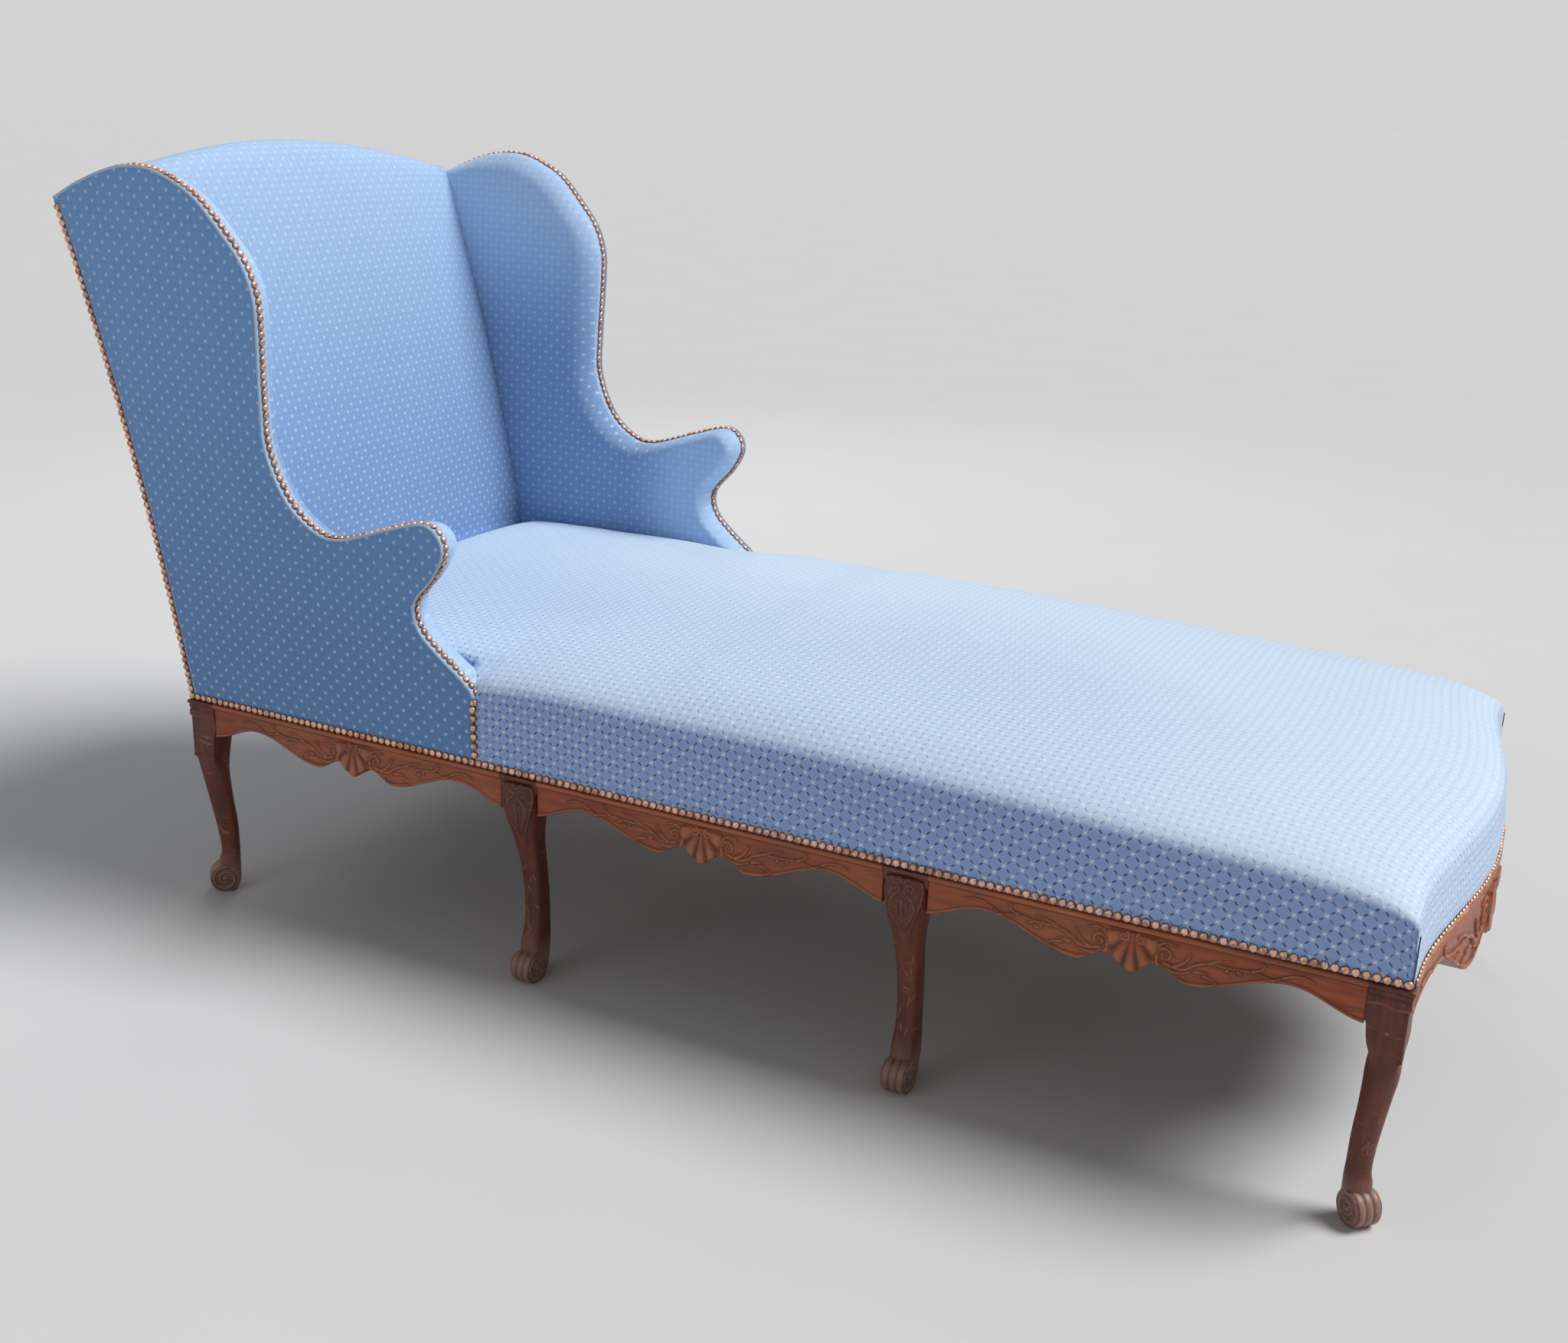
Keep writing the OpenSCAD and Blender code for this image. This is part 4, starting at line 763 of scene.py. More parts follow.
def back_cover():
    vs = crowded(129)
    profiles = [back_profile(v) for v in vs]
    n = max(len(even(q, 9.5)) for q in profiles)
    grid, uv = [], []
    for v, q in zip(vs, profiles):
        s = run(q)
        at = np.linspace(0, s[-1], n)
        x, h = (np.interp(at, s, column) for column in q.T)
        half = pad_half(h) - 0.4 - 8 * smooth((h - 110) / 200) * smooth((690 - h) / 90)
        grid.append(stack(x - MID_X, v * half, NAIL_Z + h))
        uv.append(stack(v * pad_half(400.0), at))
    row = np.linspace(0, 1, n)[:, None]
    # painted shade: darker down the back towards the seat, and at its sides by the wings
    tone = 0.95 * (1 - row ** 1.7) + 0.4 * clamp((np.abs(vs) - 0.93) / 0.07)
    build = Build()
    build.grid(np.stack(grid, axis=1), np.stack(uv, axis=1), tone=np.minimum(tone, 1.1))
    obj = build.make("back_cover", INSIDE)
    held = (np.abs(vs) > 0.985) | (row < 0.05) | (row > 0.82)
    swell(obj, held.ravel(), 3.0, 6.0)
    wrinkle(obj, BACK_FOLDS, (1, 2))
    ride(obj, "figured_cover", "back_cover", "back_stuffing", "crest_roll")


def filled(outline, inside):
    """Points and triangles that fill an outline, with the given points inside it."""
    n = len(outline)
    points = [Vector(q) for q in np.vstack([outline, inside]).tolist()]
    made = delaunay_2d_cdt(points, [(i, (i + 1) % n) for i in range(n)], [], 1, 0.01)
    return np.array([list(q) for q in made[0]]), [tuple(f) for f in made[2]]


def inside_of(q, outline):
    """Which points lie inside a closed outline."""
    a, b = outline, np.roll(outline, -1, axis=0)
    crossed = np.zeros(len(q), int)
    for (ax, ay), (bx, by) in zip(a, b):
        hit = ((ay > q[:, 1]) != (by > q[:, 1]))
        at = ax + (q[:, 1] - ay) * (bx - ax) / (by - ay if by != ay else 1e-9)
        crossed += hit & (q[:, 0] < at)
    return crossed % 2 == 1


EDGE = curve(WING_LINE, 6)
EDGE_SHARES = [(0, .12), (.08, .4), (.2, .45), (.36, .5), (.48, 1), (.88, 1), (.96, .4), (1, .1)]


def point_rows(outline, edge, rows, step):
    """Points inside an outline: rows at fixed distances from its soft edge, and an even net."""
    out = []
    side = normals(edge)
    for d in rows:
        row = edge + side * d
        near, _ = distance(row, edge)
        out.append(row[(near > d - 0.35) & inside_of(row, outline)])
    low, high = outline.min(0), outline.max(0)
    xs = np.arange(low[0], high[0], step)
    ys = np.arange(low[1], high[1], step * 0.866)
    net = np.array([(x + (i % 2) * step / 2, y) for i, y in enumerate(ys) for x in xs])
    net = net[inside_of(net, outline)]
    near, _ = distance(net, edge)
    around, _ = distance(net, np.vstack([outline, outline[:1]]))
    out.append(net[(near > rows[-1] + step * 0.6) & (around > step * 0.45)])
    return np.concatenate(out)


# Distances of the rows of points from the wing's edge, and depths of the rows of its outer strip
ROLL_ROWS = [0.5, 1.4, 2.8, 4.8, 7.4, 10.6, 14.4, 18.8, 23.8, 29.4, 35.5]
STRIP_DEPTHS = np.array([22, 19, 16, 13, 10, 7, 4, 2.0])[:, None]


def wing_cover(s, side_name):
    """Inside cover of an arm and wing, which wraps round its edge to the nails."""
    edge = even(EDGE, 6.0)
    hem = 53.0
    h = np.linspace(686, hem, 60)
    post = stack(post_front(h) + 1.0, h)
    outline = np.vstack([edge, [[rear_x(686) + 2.6, 686.0]], post,
                         even([[post[-1][0] + 6, hem], [500.0, hem]], 8.0)])
    pts, faces = filled(outline, point_rows(outline, edge, ROLL_ROWS, 9.0))
    x, h = pts.T
    far, where = distance(pts, edge)
    q = clamp(far / (32 * table(where, EDGE_SHARES)))
    crown = 3.0 * smooth((far - 30) / 70)
    by_back = np.exp(-np.maximum(x - post_front(h), 0) / 90)
    full = 9 * by_back * smooth((h - 110) / 200) * smooth(far / 26)
    depth = 22 + 28 * (1 - (1 - q) ** 1.6) ** (1 / 1.6) + crown + full
    # painted shade: darker lower down the wing, and lighter towards the arm's front
    tone = 0.75 * smooth((660 - h) / 260) - 0.65 * smooth((x - 260) / 120)
    build = Build()
    build.add(in_wing(x, -depth, h, s), [f[::s] for f in faces], pts, tone=tone)
    build.grid(in_wing(edge[:, 0], -STRIP_DEPTHS, edge[:, 1], s),
               edge - normals(edge) * (22 - STRIP_DEPTHS)[..., None], s > 0, tone=0.1)
    obj = build.make("wing_cover_" + side_name, INSIDE, weld=0.05)
    ride(obj, "figured_cover", "wing_cover_" + side_name, "wing_stuffing_" + side_name)
    # the cord sewn along the outer panel's edge
    line = even(EDGE[6:], 5.0)
    x, h = (line - normals(line) * 0.5).T
    cord("edge_welt_" + side_name, [in_wing(x, -1.6, h, s)], EDGE_WELT_R, 8, WELT)


def outside_panel(s, side_name):
    edge = even(EDGE, 6.0)
    h = np.linspace(682, 2, 70)
    base = even([[0.2, -HEM], [ARM_FRONT - 0.3, -HEM]], 9.0)
    outline = np.vstack([edge, stack(rear_x(h) + 0.2, h), base[:-1],
                         stack(ARM_FRONT - 0.3, np.linspace(-HEM, 52, 8))])
    pts, faces = filled(outline, point_rows(outline, edge, [1.2, 3, 6, 10, 15], 10.0))
    x, h = pts.T
    far, _ = distance(pts, np.vstack([outline, outline[:1]]))
    out = 2.4 * smooth(far / 60) - 1.3 * np.exp(-far / 2.0) + folds(pts, PANEL_FOLDS)
    build = Build()
    # painted shade, darker towards the bottom of the panel
    build.add(in_wing(x, out, h, s), [f[::-s] for f in faces], pts, tone=0.1 + 0.5 * smooth((520 - h) / 500))
    obj = build.make("outside_panel_" + side_name, OUTSIDE)
    x, h = outline.T
    ride(obj, "outside_cover", "outside_panel_" + side_name)


def outside_back():
    vs = np.linspace(-1, 1, 81)
    top = crest_h(vs) - CREST_DROP - 2
    low = np.concatenate([[-HEM], np.linspace(4, 660, 74)])
    h = np.concatenate([np.repeat(low[:, None], len(vs), 1), np.linspace(660, top, 9)[1:]])
    half = HALF_W + math.tan(FLARE) * h - LAP / math.cos(FLARE)
    edge = np.minimum((1 - np.abs(vs)) * 400, np.minimum(h + HEM, top - h))
    puff = 2.2 * smooth(edge / 70) - 1.0 * np.exp(-edge / 2.5)
    build = Build()
    # an even painted shade
    build.grid(stack(rear_x(h) - puff - MID_X, vs * half, NAIL_Z + h), stack(vs * half, h), True, tone=0.3)
    ride(build.make("outside_back", OUTSIDE), "outside_cover", "outside_back")
    h = np.linspace(2, 684, 90)
    for side_name, s in SIDES:
        cord("rear_welt_" + side_name, [in_wing(rear_x(h) + 11.6, 0.2, h, s)], REAR_WELT_R, 6, WELT)


# Carved wood

def turned(pairs, u):
    """Goes from one value to the next in soft waves, as a sawn and filed edge does."""
    u = np.asarray(u, float)
    out = np.full(u.shape, float(pairs[0][1]))
    for (a, p), (b, q) in zip(pairs, pairs[1:]):
        t = clamp((u - a) / (b - a))
        out = np.where(u > a, p + (q - p) * (1 - np.cos(np.pi * t)) / 2, out)
    return out


BAY = [(0, 1), (26, .75), (66, 1), (175, .54), (260, .9)]
FOOT_BAY = [(0, 1.6), (34, 1.35), (100, 1.6), (255, .62), (380, .9)]


def spiral(u, v, r0, r1, turns, start, way=1, n=40):
    t = np.linspace(0, 1, n)
    r = r0 + (r1 - r0) * t
    a = math.radians(start) + way * 2 * np.pi * turns * t
    return np.stack([u + r * np.cos(a), v + r * np.sin(a)], axis=1)


# The carving right of a bay's middle: lines in millimetres from the middle and below the nail line,
# with the half width at both ends and the height
BAY_CARVING = [
    (spiral(37.6, 34, 10, 2.2, 1.25, 150), 2.3, 1.3, 2.6),
    (curve([(27.7, 37), (30.5, 47), (41.8, 55), (58.9, 61), (78.7, 60), (96, 55)], 6), 2.6, 1.4, 2.8),
    (curve([(37.6, 43), (50.4, 46.5), (61.7, 45), (71.6, 37.5), (85.8, 31.5), (101.4, 31.2), (111.3, 31),
            (125.5, 29.6), (134, 28.6), (144, 30), (155.3, 32), (166.7, 27)], 6), 2.4, 1.2, 2.6),
    (curve([(85.8, 31.5), (98, 26), (112, 23)], 5), 1.6, 0.9, 2.0),
    (curve([(134, 28), (142.6, 24.4), (146, 18.5), (142, 17.5)], 5), 1.7, 1.0, 2.2),
    (curve([(49, 45), (58, 39), (64, 31), (66, 26)], 5), 2.6, 0.9, 2.6),
    (curve([(43.3, 51), (53.2, 52), (64.5, 48.2), (69.5, 42)], 5), 2.0, 0.9, 2.2),
    (curve([(71.6, 45.5), (78.7, 44.5), (86, 44.5)], 5), 2.2, 0.9, 2.2),
    (curve([(82, 48), (91, 50), (97.9, 54)], 5), 2.0, 0.9, 2.2),
    (curve([(28, 28), (33, 21), (42, 18.5), (50, 21)], 5), 2.2, 1.0, 2.4),
    (curve([(155, 32), (163, 36), (172, 35)], 5), 1.8, 0.8, 2.0),
    (curve([(166.7, 27), (178, 22), (190, 21), (200, 24)], 5), 1.7, 0.8, 2.0),
    (spiral(113, 36.5, 3.2, 0.5, 1.0, 200, -1, 18), 1.5, 1.2, 2.2),
    (np.array([(118.4, 33.3), (121.0, 34.6)]), 2.2, 1.8, 2.2),
    (np.array([(107.2, 34.2), (105.2, 36.2)]), 2.0, 1.6, 2.1),
    (spiral(9.8, 21.5, 6.4, 1.2, 1.3, 250, -1), 1.7, 1.1, 2.4),
]


def lay(out, low, high, u, v, strokes, scale=1.0, lift=1.0):
    """Adds strokes of round section to a carved ground."""
    q = stack(u, v)
    for line, r0, r1, h in strokes:
        line = line * scale
        reach = max(r0, r1) * scale + 5
        near = np.all((q > line.min(0) - reach) & (q < line.max(0) + reach), axis=-1)
        if not near.any():
            continue
        d, share = distance(q[near], line)
        r = (r0 + (r1 - r0) * share) * scale
        out[near] = np.maximum(out[near], h * lift * np.sqrt(clamp(1 - (d / r) ** 2)) - 1.2)
        # painted shade round each stroke's foot, and a painted highlight along its crest
        shade = 0.9 * np.exp(-np.maximum(d - r, 0) / (1.3 * scale)) * (d > r * 0.92)
        low[near] = np.where(d < r * 0.8, 0.0, np.maximum(low[near], shade))
        high[near] = np.maximum(high[near], clamp(1 - d / (r * 0.75)) * 0.9)


def shell_relief(out, low, high, u, v, hinge, deep, half, ribs, lift):
    """A fan of ribs below its hinge."""
    a, b = u / (half / deep), v - hinge
    far = np.hypot(a, b)
    angle = np.arctan2(a, b)
    rim = deep * (0.965 + 0.035 * np.abs(np.cos(angle * ribs / 2)))
    q = far / rim
    wave = np.abs(np.cos(angle * ribs / 2)) ** 0.6
    rise = lift * (0.45 + 0.55 * wave * smooth(q / 0.5)) * (1 - 0.25 * np.cos(q * 3.1))
    rise = rise * np.sqrt(clamp(1 - clamp((q - 0.9) / 0.1) ** 2))
    on = (q < 1) & (np.abs(angle) < math.radians(88))
    out[...] = np.where(on, np.maximum(out, rise - 0.6), out)
    # painted shade in the grooves between ribs and round the shell's rim, painted highlight on the ribs
    groove = (1 - wave) ** 1.2 * smooth(q / 0.3)
    low[...] = np.where(on, np.maximum(groove * 1.3 * (q < 0.97), low * 0.2), low)
    high[...] = np.where(on, smooth((wave - 0.6) / 0.4) * smooth((q - 0.35) / 0.5) * 0.75, high)
    edge = np.exp(-np.maximum((q - 1) * deep, 0) / 1.4) * (q >= 1) * (np.abs(angle) < math.radians(92))
    low[...] = np.maximum(low, edge * 0.9)


def bay_relief(u, v, bottom, scale, lift):
    rim = bottom - v
    bead = np.sqrt(clamp(1 - ((rim - 2.2 * scale) / (1.9 * scale)) ** 2))
    out = bead * 1.5 * lift - 1.2
    # painted shade in the crease above the lower bead, painted highlight on the bead
    low = np.exp(-((rim - 4.8 * scale) / (0.9 * scale)) ** 2) * 0.8
    high = bead * 0.45
    lay(out, low, high, u, v, BAY_CARVING, scale, lift)
    shell_relief(out, low, high, u, v, 16 * scale, 47.5 * scale, 29 * scale, 9.5, 4.3 * lift)
    lay(out, low, high, u, v, BAY_CARVING[-1:], scale, lift * 1.25)
    hinge = np.sqrt(clamp(1 - (u / (4.5 * scale)) ** 2 - ((v - 18 * scale) / (3.6 * scale)) ** 2))
    out = np.maximum(out, hinge * 4.2 * lift - 0.8)
    # tool marks of the ground
    out -= 0.12 * np.sin(u * 1.1 + 2 * np.sin(v * 0.7)) * (out < -0.9)
    # painted shade along the top of the carved face, under the upper bead
    low = np.maximum(low, np.exp(-((v - 14.2) / 1.1) ** 2) * 0.9)
    return out, clamp(low), clamp(high)


def rail_grid(rows, bay, away, scale, lift):
    """The loop of a rail's section at each station: bead, carved face, lower edge, back and top."""
    over = [(-RAIL_T, RAIL_TOP), (-LAP - 0.2, RAIL_TOP), (-LAP - 0.2, BEAD_Z + BEAD_R + 0.2)]
    over += [(BEAD_R * math.cos(t), BEAD_Z + BEAD_R * math.sin(t))
             for t in np.radians(np.linspace(88, -88, 11))]
    bottom = (APRON * turned(bay, away))[:, None]
    v = 13.6 + (bottom - 2.0 - 13.6) * np.linspace(0, 1, rows)
    out, low, high = bay_relief(np.repeat(away[:, None], rows, 1), v, bottom, scale, lift)
    out[:, 0] = np.minimum(out[:, 0], -0.6)
    n, first, rim, base = len(away), len(over), out[:, -1:], NAIL_Z - bottom
    over_out, over_z = np.tile(np.transpose(over)[:, None], (1, n, 1))
    o = np.concatenate([over_out, out, rim - 0.8, rim - 2.6, np.full((n, 1), -RAIL_T)], axis=1)
    z = np.concatenate([over_z, NAIL_Z - v, base + 0.6, base, base], axis=1)
    # painted shade under the rail and in a line below the bead, painted highlight on the bead
    low = np.pad(low, ((0, 0), (first, 3)), constant_values=((0, 0), (0, 0.4)))
    high = np.pad(high, ((0, 0), (first, 3)))
    high[:, 3:first] = 0.35
    low[:, first - 1] = 0.7
    return o, z, low, high


def side_rail(k, s, name):
    x0 = LEG_X[k] + (BLOCK if k == 0 else KNEE_W) / 2
    x1 = LEG_X[k + 1] - (BLOCK if k == 2 else KNEE_W) / 2
    xs = np.linspace(x0, x1, 1 + int((x1 - x0) / 1.35))
    o, z, low, high = rail_grid(46, BAY, np.abs(xs - (LEG_X[k] + LEG_X[k + 1]) / 2), 1.0, 1.0)
    build = Build()
    build.body(to_world(xs[:, None], o, z, s), s < 0, low=low, high=high)
    ride(build.make(name, RAIL_WOOD), "carved_rails", name)


def foot_rail():
    y = np.linspace(BLOCK - HALF_W, HALF_W - BLOCK, 540)[:, None]
    o, z, low, high = rail_grid(64, FOOT_BAY, np.abs(y[:, 0]), 1.6, 1.35)
    build = Build()
    build.body(stack(FRAME_LEN + bow_x(y) + o - MID_X, y, z), True, low=low, high=high)
    ride(build.make("foot_rail", RAIL_WOOD), "carved_rails", "foot_rail")


# Side profile of a middle leg: the outer and inner face by height, measured out from the cover's face
MIDDLE_OUTER = [(0, 296), (7, 291), (9, 268), (5, 242), (-4, 215), (-13, 188), (-21, 150), (-24, 100),
                (-20, 70), (-14, 48), (-12, 0)]
MIDDLE_INNER = [(-44, 296), (-44, 280), (-36, 258), (-36, 235), (-40, 200), (-47, 160), (-54, 110),
                (-54, 70), (-52, 40), (-44, 12), (-34, 0)]
CORNER_OUTER = [(29, 296), (29, 252), (29, 226), (25, 200), (16, 150), (9, 110), (5, 80), (4, 60),
                (8, 44), (4, 0)]
CORNER_INNER = [(-30, 296), (-26, 260), (-20, 230), (-16, 194), (-18, 150), (-22, 110), (-23, 80),
                (-22.5, 45), (-21, 14), (-14, 0)]
CORNER_HALF = [(30, 296), (29, 250), (27, 232), (20.5, 214), (15.8, 190), (13.6, 150), (12.8, 100), (13, 70),
               (15, 46), (14.5, 0)]
MIDDLE_HALF = [(29, 296), (29, 292), (27.84, 268), (23.78, 240), (19.14, 214), (16.8, 186), (15, 145),
               (14, 100), (15, 70), (16, 46), (15.5, 0)]
LEG_Z = np.concatenate([np.linspace(296, 196, 74), np.linspace(194, 52, 52), np.linspace(50, 0.0, 24)])


def along_height(pairs, z):
    line = curve(pairs, 8)[::-1]
    return np.interp(z, np.maximum.accumulate(line[:, 1]), line[:, 0])


KNEE_CARVING = [
    (spiral(10.5, 27, 8.2, 1.4, 1.35, 95, 1), 2.0, 1.2, 2.4),
    (curve([(9, 35), (14, 43), (15.5, 54), (11.5, 66), (5.5, 77), (0.8, 86)], 6), 2.2, 1.0, 2.2),
    (curve([(2.2, 20), (4, 15.5), (9, 14.5)], 5), 1.8, 1.0, 2.0),
    (curve([(22, 18), (24.5, 32), (21, 50), (15, 68), (9, 88), (7, 104)], 6), 1.6, 0.8, 1.8),
    (curve([(0, 42), (0, 60), (0, 74)], 6), 3.4, 1.0, 2.6),
    (curve([(5.6, 44), (6.4, 54), (3.6, 66)], 6), 1.7, 0.8, 1.8),
]


def power(value, share):
    return np.sign(value) * np.abs(value) ** share


FRONT = 46


def knee_section():
    """The section of a middle leg, from -1 to 1 across and out: the round front first."""
    x = crowded(FRONT)
    y = np.maximum(1 - np.abs(x) ** 3.2, 0) ** (1 / 3.2)
    y[[0, -1]] = 0.12
    flank, turn = np.linspace(0.12, -0.6, 13)[1:], np.linspace(0, np.pi, 15)[1:-1]
    return (np.concatenate([x, np.ones(12), np.cos(turn), -np.ones(12)]),
            np.concatenate([y, flank, -0.6 - 0.4 * np.sin(turn), flank[::-1]]))


def leg_loft(build, corner, place, mirror, dice):
    """Rings of a leg, from the top down. place puts (across, out, z) in the frame. A corner leg is
    square to the block above, and rounder below; a middle leg's front has the knee's carving."""
    z = LEG_Z[:, None]
    profiles = (MIDDLE_OUTER, MIDDLE_INNER, MIDDLE_HALF)
    if corner:
        profiles = (CORNER_OUTER, CORNER_INNER, CORNER_HALF)
    outer, inner, half = (along_height(pairs, z) for pairs in profiles)
    if corner:
        cos, sin = around(96)
        share = 2 / (1.15 + 1.35 * smooth((222 - z) / 40))
        across, deep = power(-cos, share), power(sin, share)
    else:
        across, deep = knee_section()
    rows = stack(half * across, (outer + inner) / 2 + (outer - inner) / 2 * deep, z)
    low, high = np.zeros(rows.shape[:2]), np.zeros(rows.shape[:2])
    if not corner:
        front, front_low, front_high = rows[:, :FRONT], low[:, :FRONT], high[:, :FRONT]
        u, v = np.abs(front[..., 0]), NAIL_Z - front[..., 2]
        out = np.full(u.shape, -1.2)
        lay(out, front_low, front_high, u, v, KNEE_CARVING)
        fade = smooth((110 - v) / 12) * smooth((half - u) / 2.5)
        front[..., 1] += (out + 1.2) * fade
        front_low *= fade
        front_high *= fade
    # scratches of the shaft, worn to the pale wood
    outer_side = rows[..., 1] > rows[..., 1].mean(1)[:, None]
    for _ in range(9):
        z0, u0 = dice.uniform(70, 215), dice.uniform(-11, 11)
        long, lean = dice.uniform(4, 15), dice.uniform(-0.9, 0.9)
        line = np.array([(u0, z0), (u0 + long * math.sin(lean), z0 - long * math.cos(lean))])
        d = distance(rows[..., [0, 2]].reshape(-1, 2), line)[0].reshape(low.shape)
        high = np.maximum(high, 1.3 * clamp((1.5 - d) / 0.9) * outer_side)
        low = np.maximum(low, 0.5 * clamp(1 - np.abs(d - 2.2) / 0.9) * outer_side)
    build.body(place(rows[..., 0], rows[..., 1], rows[..., 2]), mirror, low=low, high=high,
               worn=smooth((70 - rows[..., 2]) / 40) * 0.8)


FOOT_R, FOOT_HALF, FOOT_STEPS = 21.0, 15.0, 72
MIDDLE_TOE, CORNER_TOE = -15.0, 1.0


def scroll_foot(build, roll, place, mirror):
    """A rolled toe: a short roller with a spiral cut on both ends."""
    r, w, steps = FOOT_R, FOOT_HALF, FOOT_STEPS
    cos, sin = around(steps)
    line = spiral(0, 0, r - 1.5, 3.0, 1.9, 100, -1, 90)
    radii = np.concatenate([np.linspace(0.6, r - 1.6, 22), [r - 0.6, r]])[:, None]
    q = stack(radii * cos, radii * sin)
    d, share = (k.reshape(q.shape[:2]) for k in distance(q.reshape(-1, 2), line))
    width = 2.9 - 1.2 * share
    eye = 3.2 * np.sqrt(clamp(1 - (radii / 4.2) ** 2))
    rise = np.maximum(1.8 * np.sqrt(clamp(1 - (d / width) ** 2)), eye)
    rise[-1] = -2.0
    rise[-2] = np.minimum(rise[-2], 0.4)
    # painted shade beside the spiral's ridge, painted highlight on it
    shade = clamp(np.exp(-np.maximum(d - width * 0.8, 0) / 1.2) * (d > width * 0.8)) * 0.9
    for side in (-1, 1):
        first, flip = build.count, (side > 0) == mirror
        build.grid(place(side * (w + rise), roll + q[..., 0], r + q[..., 1]), None, flip, True,
                   low=shade, high=clamp(rise / 2.2) * 0.7, worn=0.9)
        build.f.append(tuple(range(first, first + steps))[::1 if flip else -1])
    xs = np.concatenate([[-w + 2.0], np.linspace(-w + 1, w - 1, 37), [w - 2.0]])[:, None]
    ribs = np.abs(np.cos(1.5 * np.pi * xs / w)) ** 0.6
    bulge = r - 0.9 + 2.0 * ribs
    bulge[[0, 1, -2, -1]] = r
    # painted shade in the grooves between the roll's ribs, painted highlight on the ribs
    groove = clamp(0.75 - ribs) * 1.2
    build.grid(place(xs, roll + bulge * cos, np.maximum(r + bulge * sin, 0.0)), None, not mirror, True,
               low=groove, high=0.5 * (1 - groove), worn=1.0)


DRAWN_IN = 24


def block_rings(build, x, wide, s, faces, low_z, relief=None):
    """A square block under the cover: covered part, bead, face with carving, rounded lower end.
    A block with relief is drawn in below the aprons on its hidden sides."""
    t = np.linspace(-1, 1, 30, endpoint=False)
    square = np.concatenate([stack(t, -1.0), stack(1.0, t), stack(-t, 1.0), stack(-1.0, -t)])
    bead = np.radians(np.linspace(88, -88, 9))
    face = np.linspace(BEAD_Z - BEAD_R - 0.4, low_z + 4, 60)
    z = np.concatenate([[RAIL_TOP, BEAD_Z + BEAD_R + 0.2], BEAD_Z + BEAD_R * np.sin(bead), face,
                        [low_z + 1.2, low_z]])[:, None]
    out = np.concatenate([[-LAP - 0.2] * 2, BEAD_R * np.cos(bead), 0 * face, [-1.2, -4.0]])[:, None]
    half = np.array([wide, BLOCK]) / 2
    rings = np.tile(square * half + (x, -BLOCK / 2), (len(z), 1, 1))
    low, high = np.zeros(rings.shape[:2]), np.zeros(rings.shape[:2])
    carved = ((z < BEAD_Z - BEAD_R) & (z > low_z + 2))[:, 0]
    for axis, sign in faces:
        on = square[:, axis] * sign > 0.99
        extra = np.zeros((len(z), on.sum()))
        if relief:
            away = (1 - square[on, 1 - axis] * dict(faces)[1 - axis]) * half[1 - axis]
            extra[carved], dark, bright = relief(away, NAIL_Z - z[carved])
            both = np.ix_(carved, on)
            low[both], high[both] = np.maximum(low[both], dark), np.maximum(high[both], bright)
            hidden = np.maximum(-square[:, axis] * sign, 0)
            rings[..., axis] += sign * DRAWN_IN * smooth((264 - z) / 44) * hidden
        rings[:, on, axis] += sign * (out + extra)
    build.body(to_world(rings[..., 0], rings[..., 1], z, s), s < 0, low=low, high=high, worn=0.0)


def corner_relief(away, v):
    """A corner block's face, by the distance from its outer edge and below the nail line: a stepped
    cap over a wavy ledge, a plain panel with two flutes at the edge, and a leaf's end under it."""
    ledge = 30 + 1.6 * np.sin(away / 6.5)
    leaf = table(away, [(0, 92), (7, 86), (16, 82), (26, 76), (36, 66), (44, 54)])
    cap = 1.6 * smooth((ledge - v) / 1.4) - 1.3 * np.exp(-((v - 19.5) / 1.3) ** 2)
    rim = 1.3 * np.exp(-((v - ledge) / 1.5) ** 2)
    flutes = sum(np.exp(-((away - at) / 1.5) ** 2) for at in (4.5, 9.5)) * (v > ledge + 4) * (v < leaf - 6)
    edge = 1.0 * np.exp(-((leaf - v) / 1.5) ** 2)
    out = cap + rim + edge - 1.5 * flutes - 9.0 * smooth((v - leaf) / 2.2)
    # painted shade in the cap's groove, the flutes and under the ledge; painted highlights on the ledge and
    # the leaf's edge
    low = np.exp(-((v - 19.5) / 1.5) ** 2) + 0.8 * flutes + np.exp(-((v - ledge - 3.2) / 1.2) ** 2)
    high = 0.8 * np.exp(-((v - ledge) / 1.6) ** 2) + 0.8 * np.exp(-((leaf - v) / 1.6) ** 2)
    return out, clamp(low), clamp(high)


def middle_leg(k, s, name):
    def place(a, out, z):
        return to_world(LEG_X[k] + a, out, z, s)
    build = Build()
    block_rings(build, LEG_X[k], KNEE_W, s, [(1, 1)], 284)
    leg_loft(build, False, place, s > 0, random.Random(10 * k + s))
    scroll_foot(build, MIDDLE_TOE, place, s > 0)
    ride(build.make(name, LEG_WOOD), "carved_legs", name)


def corner_leg(build, x, s, away):
    """away is 1 where the leg points to the foot end and -1 where it points to the back."""
    h = math.sqrt(0.5)

    def place(a, out, z):
        return to_world(x + h * (a + away * out), -BLOCK / 2 + h * (out - away * a), z, s)
    block_rings(build, x, BLOCK, s, [(1, 1), (0, away)], 214, corner_relief)
    leg_loft(build, True, place, s > 0, random.Random(20 + away + 3 * s))
    scroll_foot(build, CORNER_TOE, place, s > 0)


def foot_leg(s, name):
    build = Build()
    corner_leg(build, LEG_X[3], s, 1)
    ride(build.make(name, LEG_WOOD), "carved_legs", name)


def rear_post(s, name):
    build = Build()
    corner_leg(build, LEG_X[0], s, -1)
    h = np.linspace(34, 681, 40)
    front, back = post_front(h) - 0.4, rear_x(h) + 2.4
    rings = [in_wing(x, out, h, s) for x, out in ((back, -3.2), (front, -3.2), (front, -42.0), (back, -42.0))]
    build.body(np.stack(rings, axis=1), s < 0)
    ride(build.make(name, LEG_WOOD), "carved_legs", name)


# Hidden parts

WEB_W, WEB_T, WEB_SWAY = 60.0, 1.2, 1.3


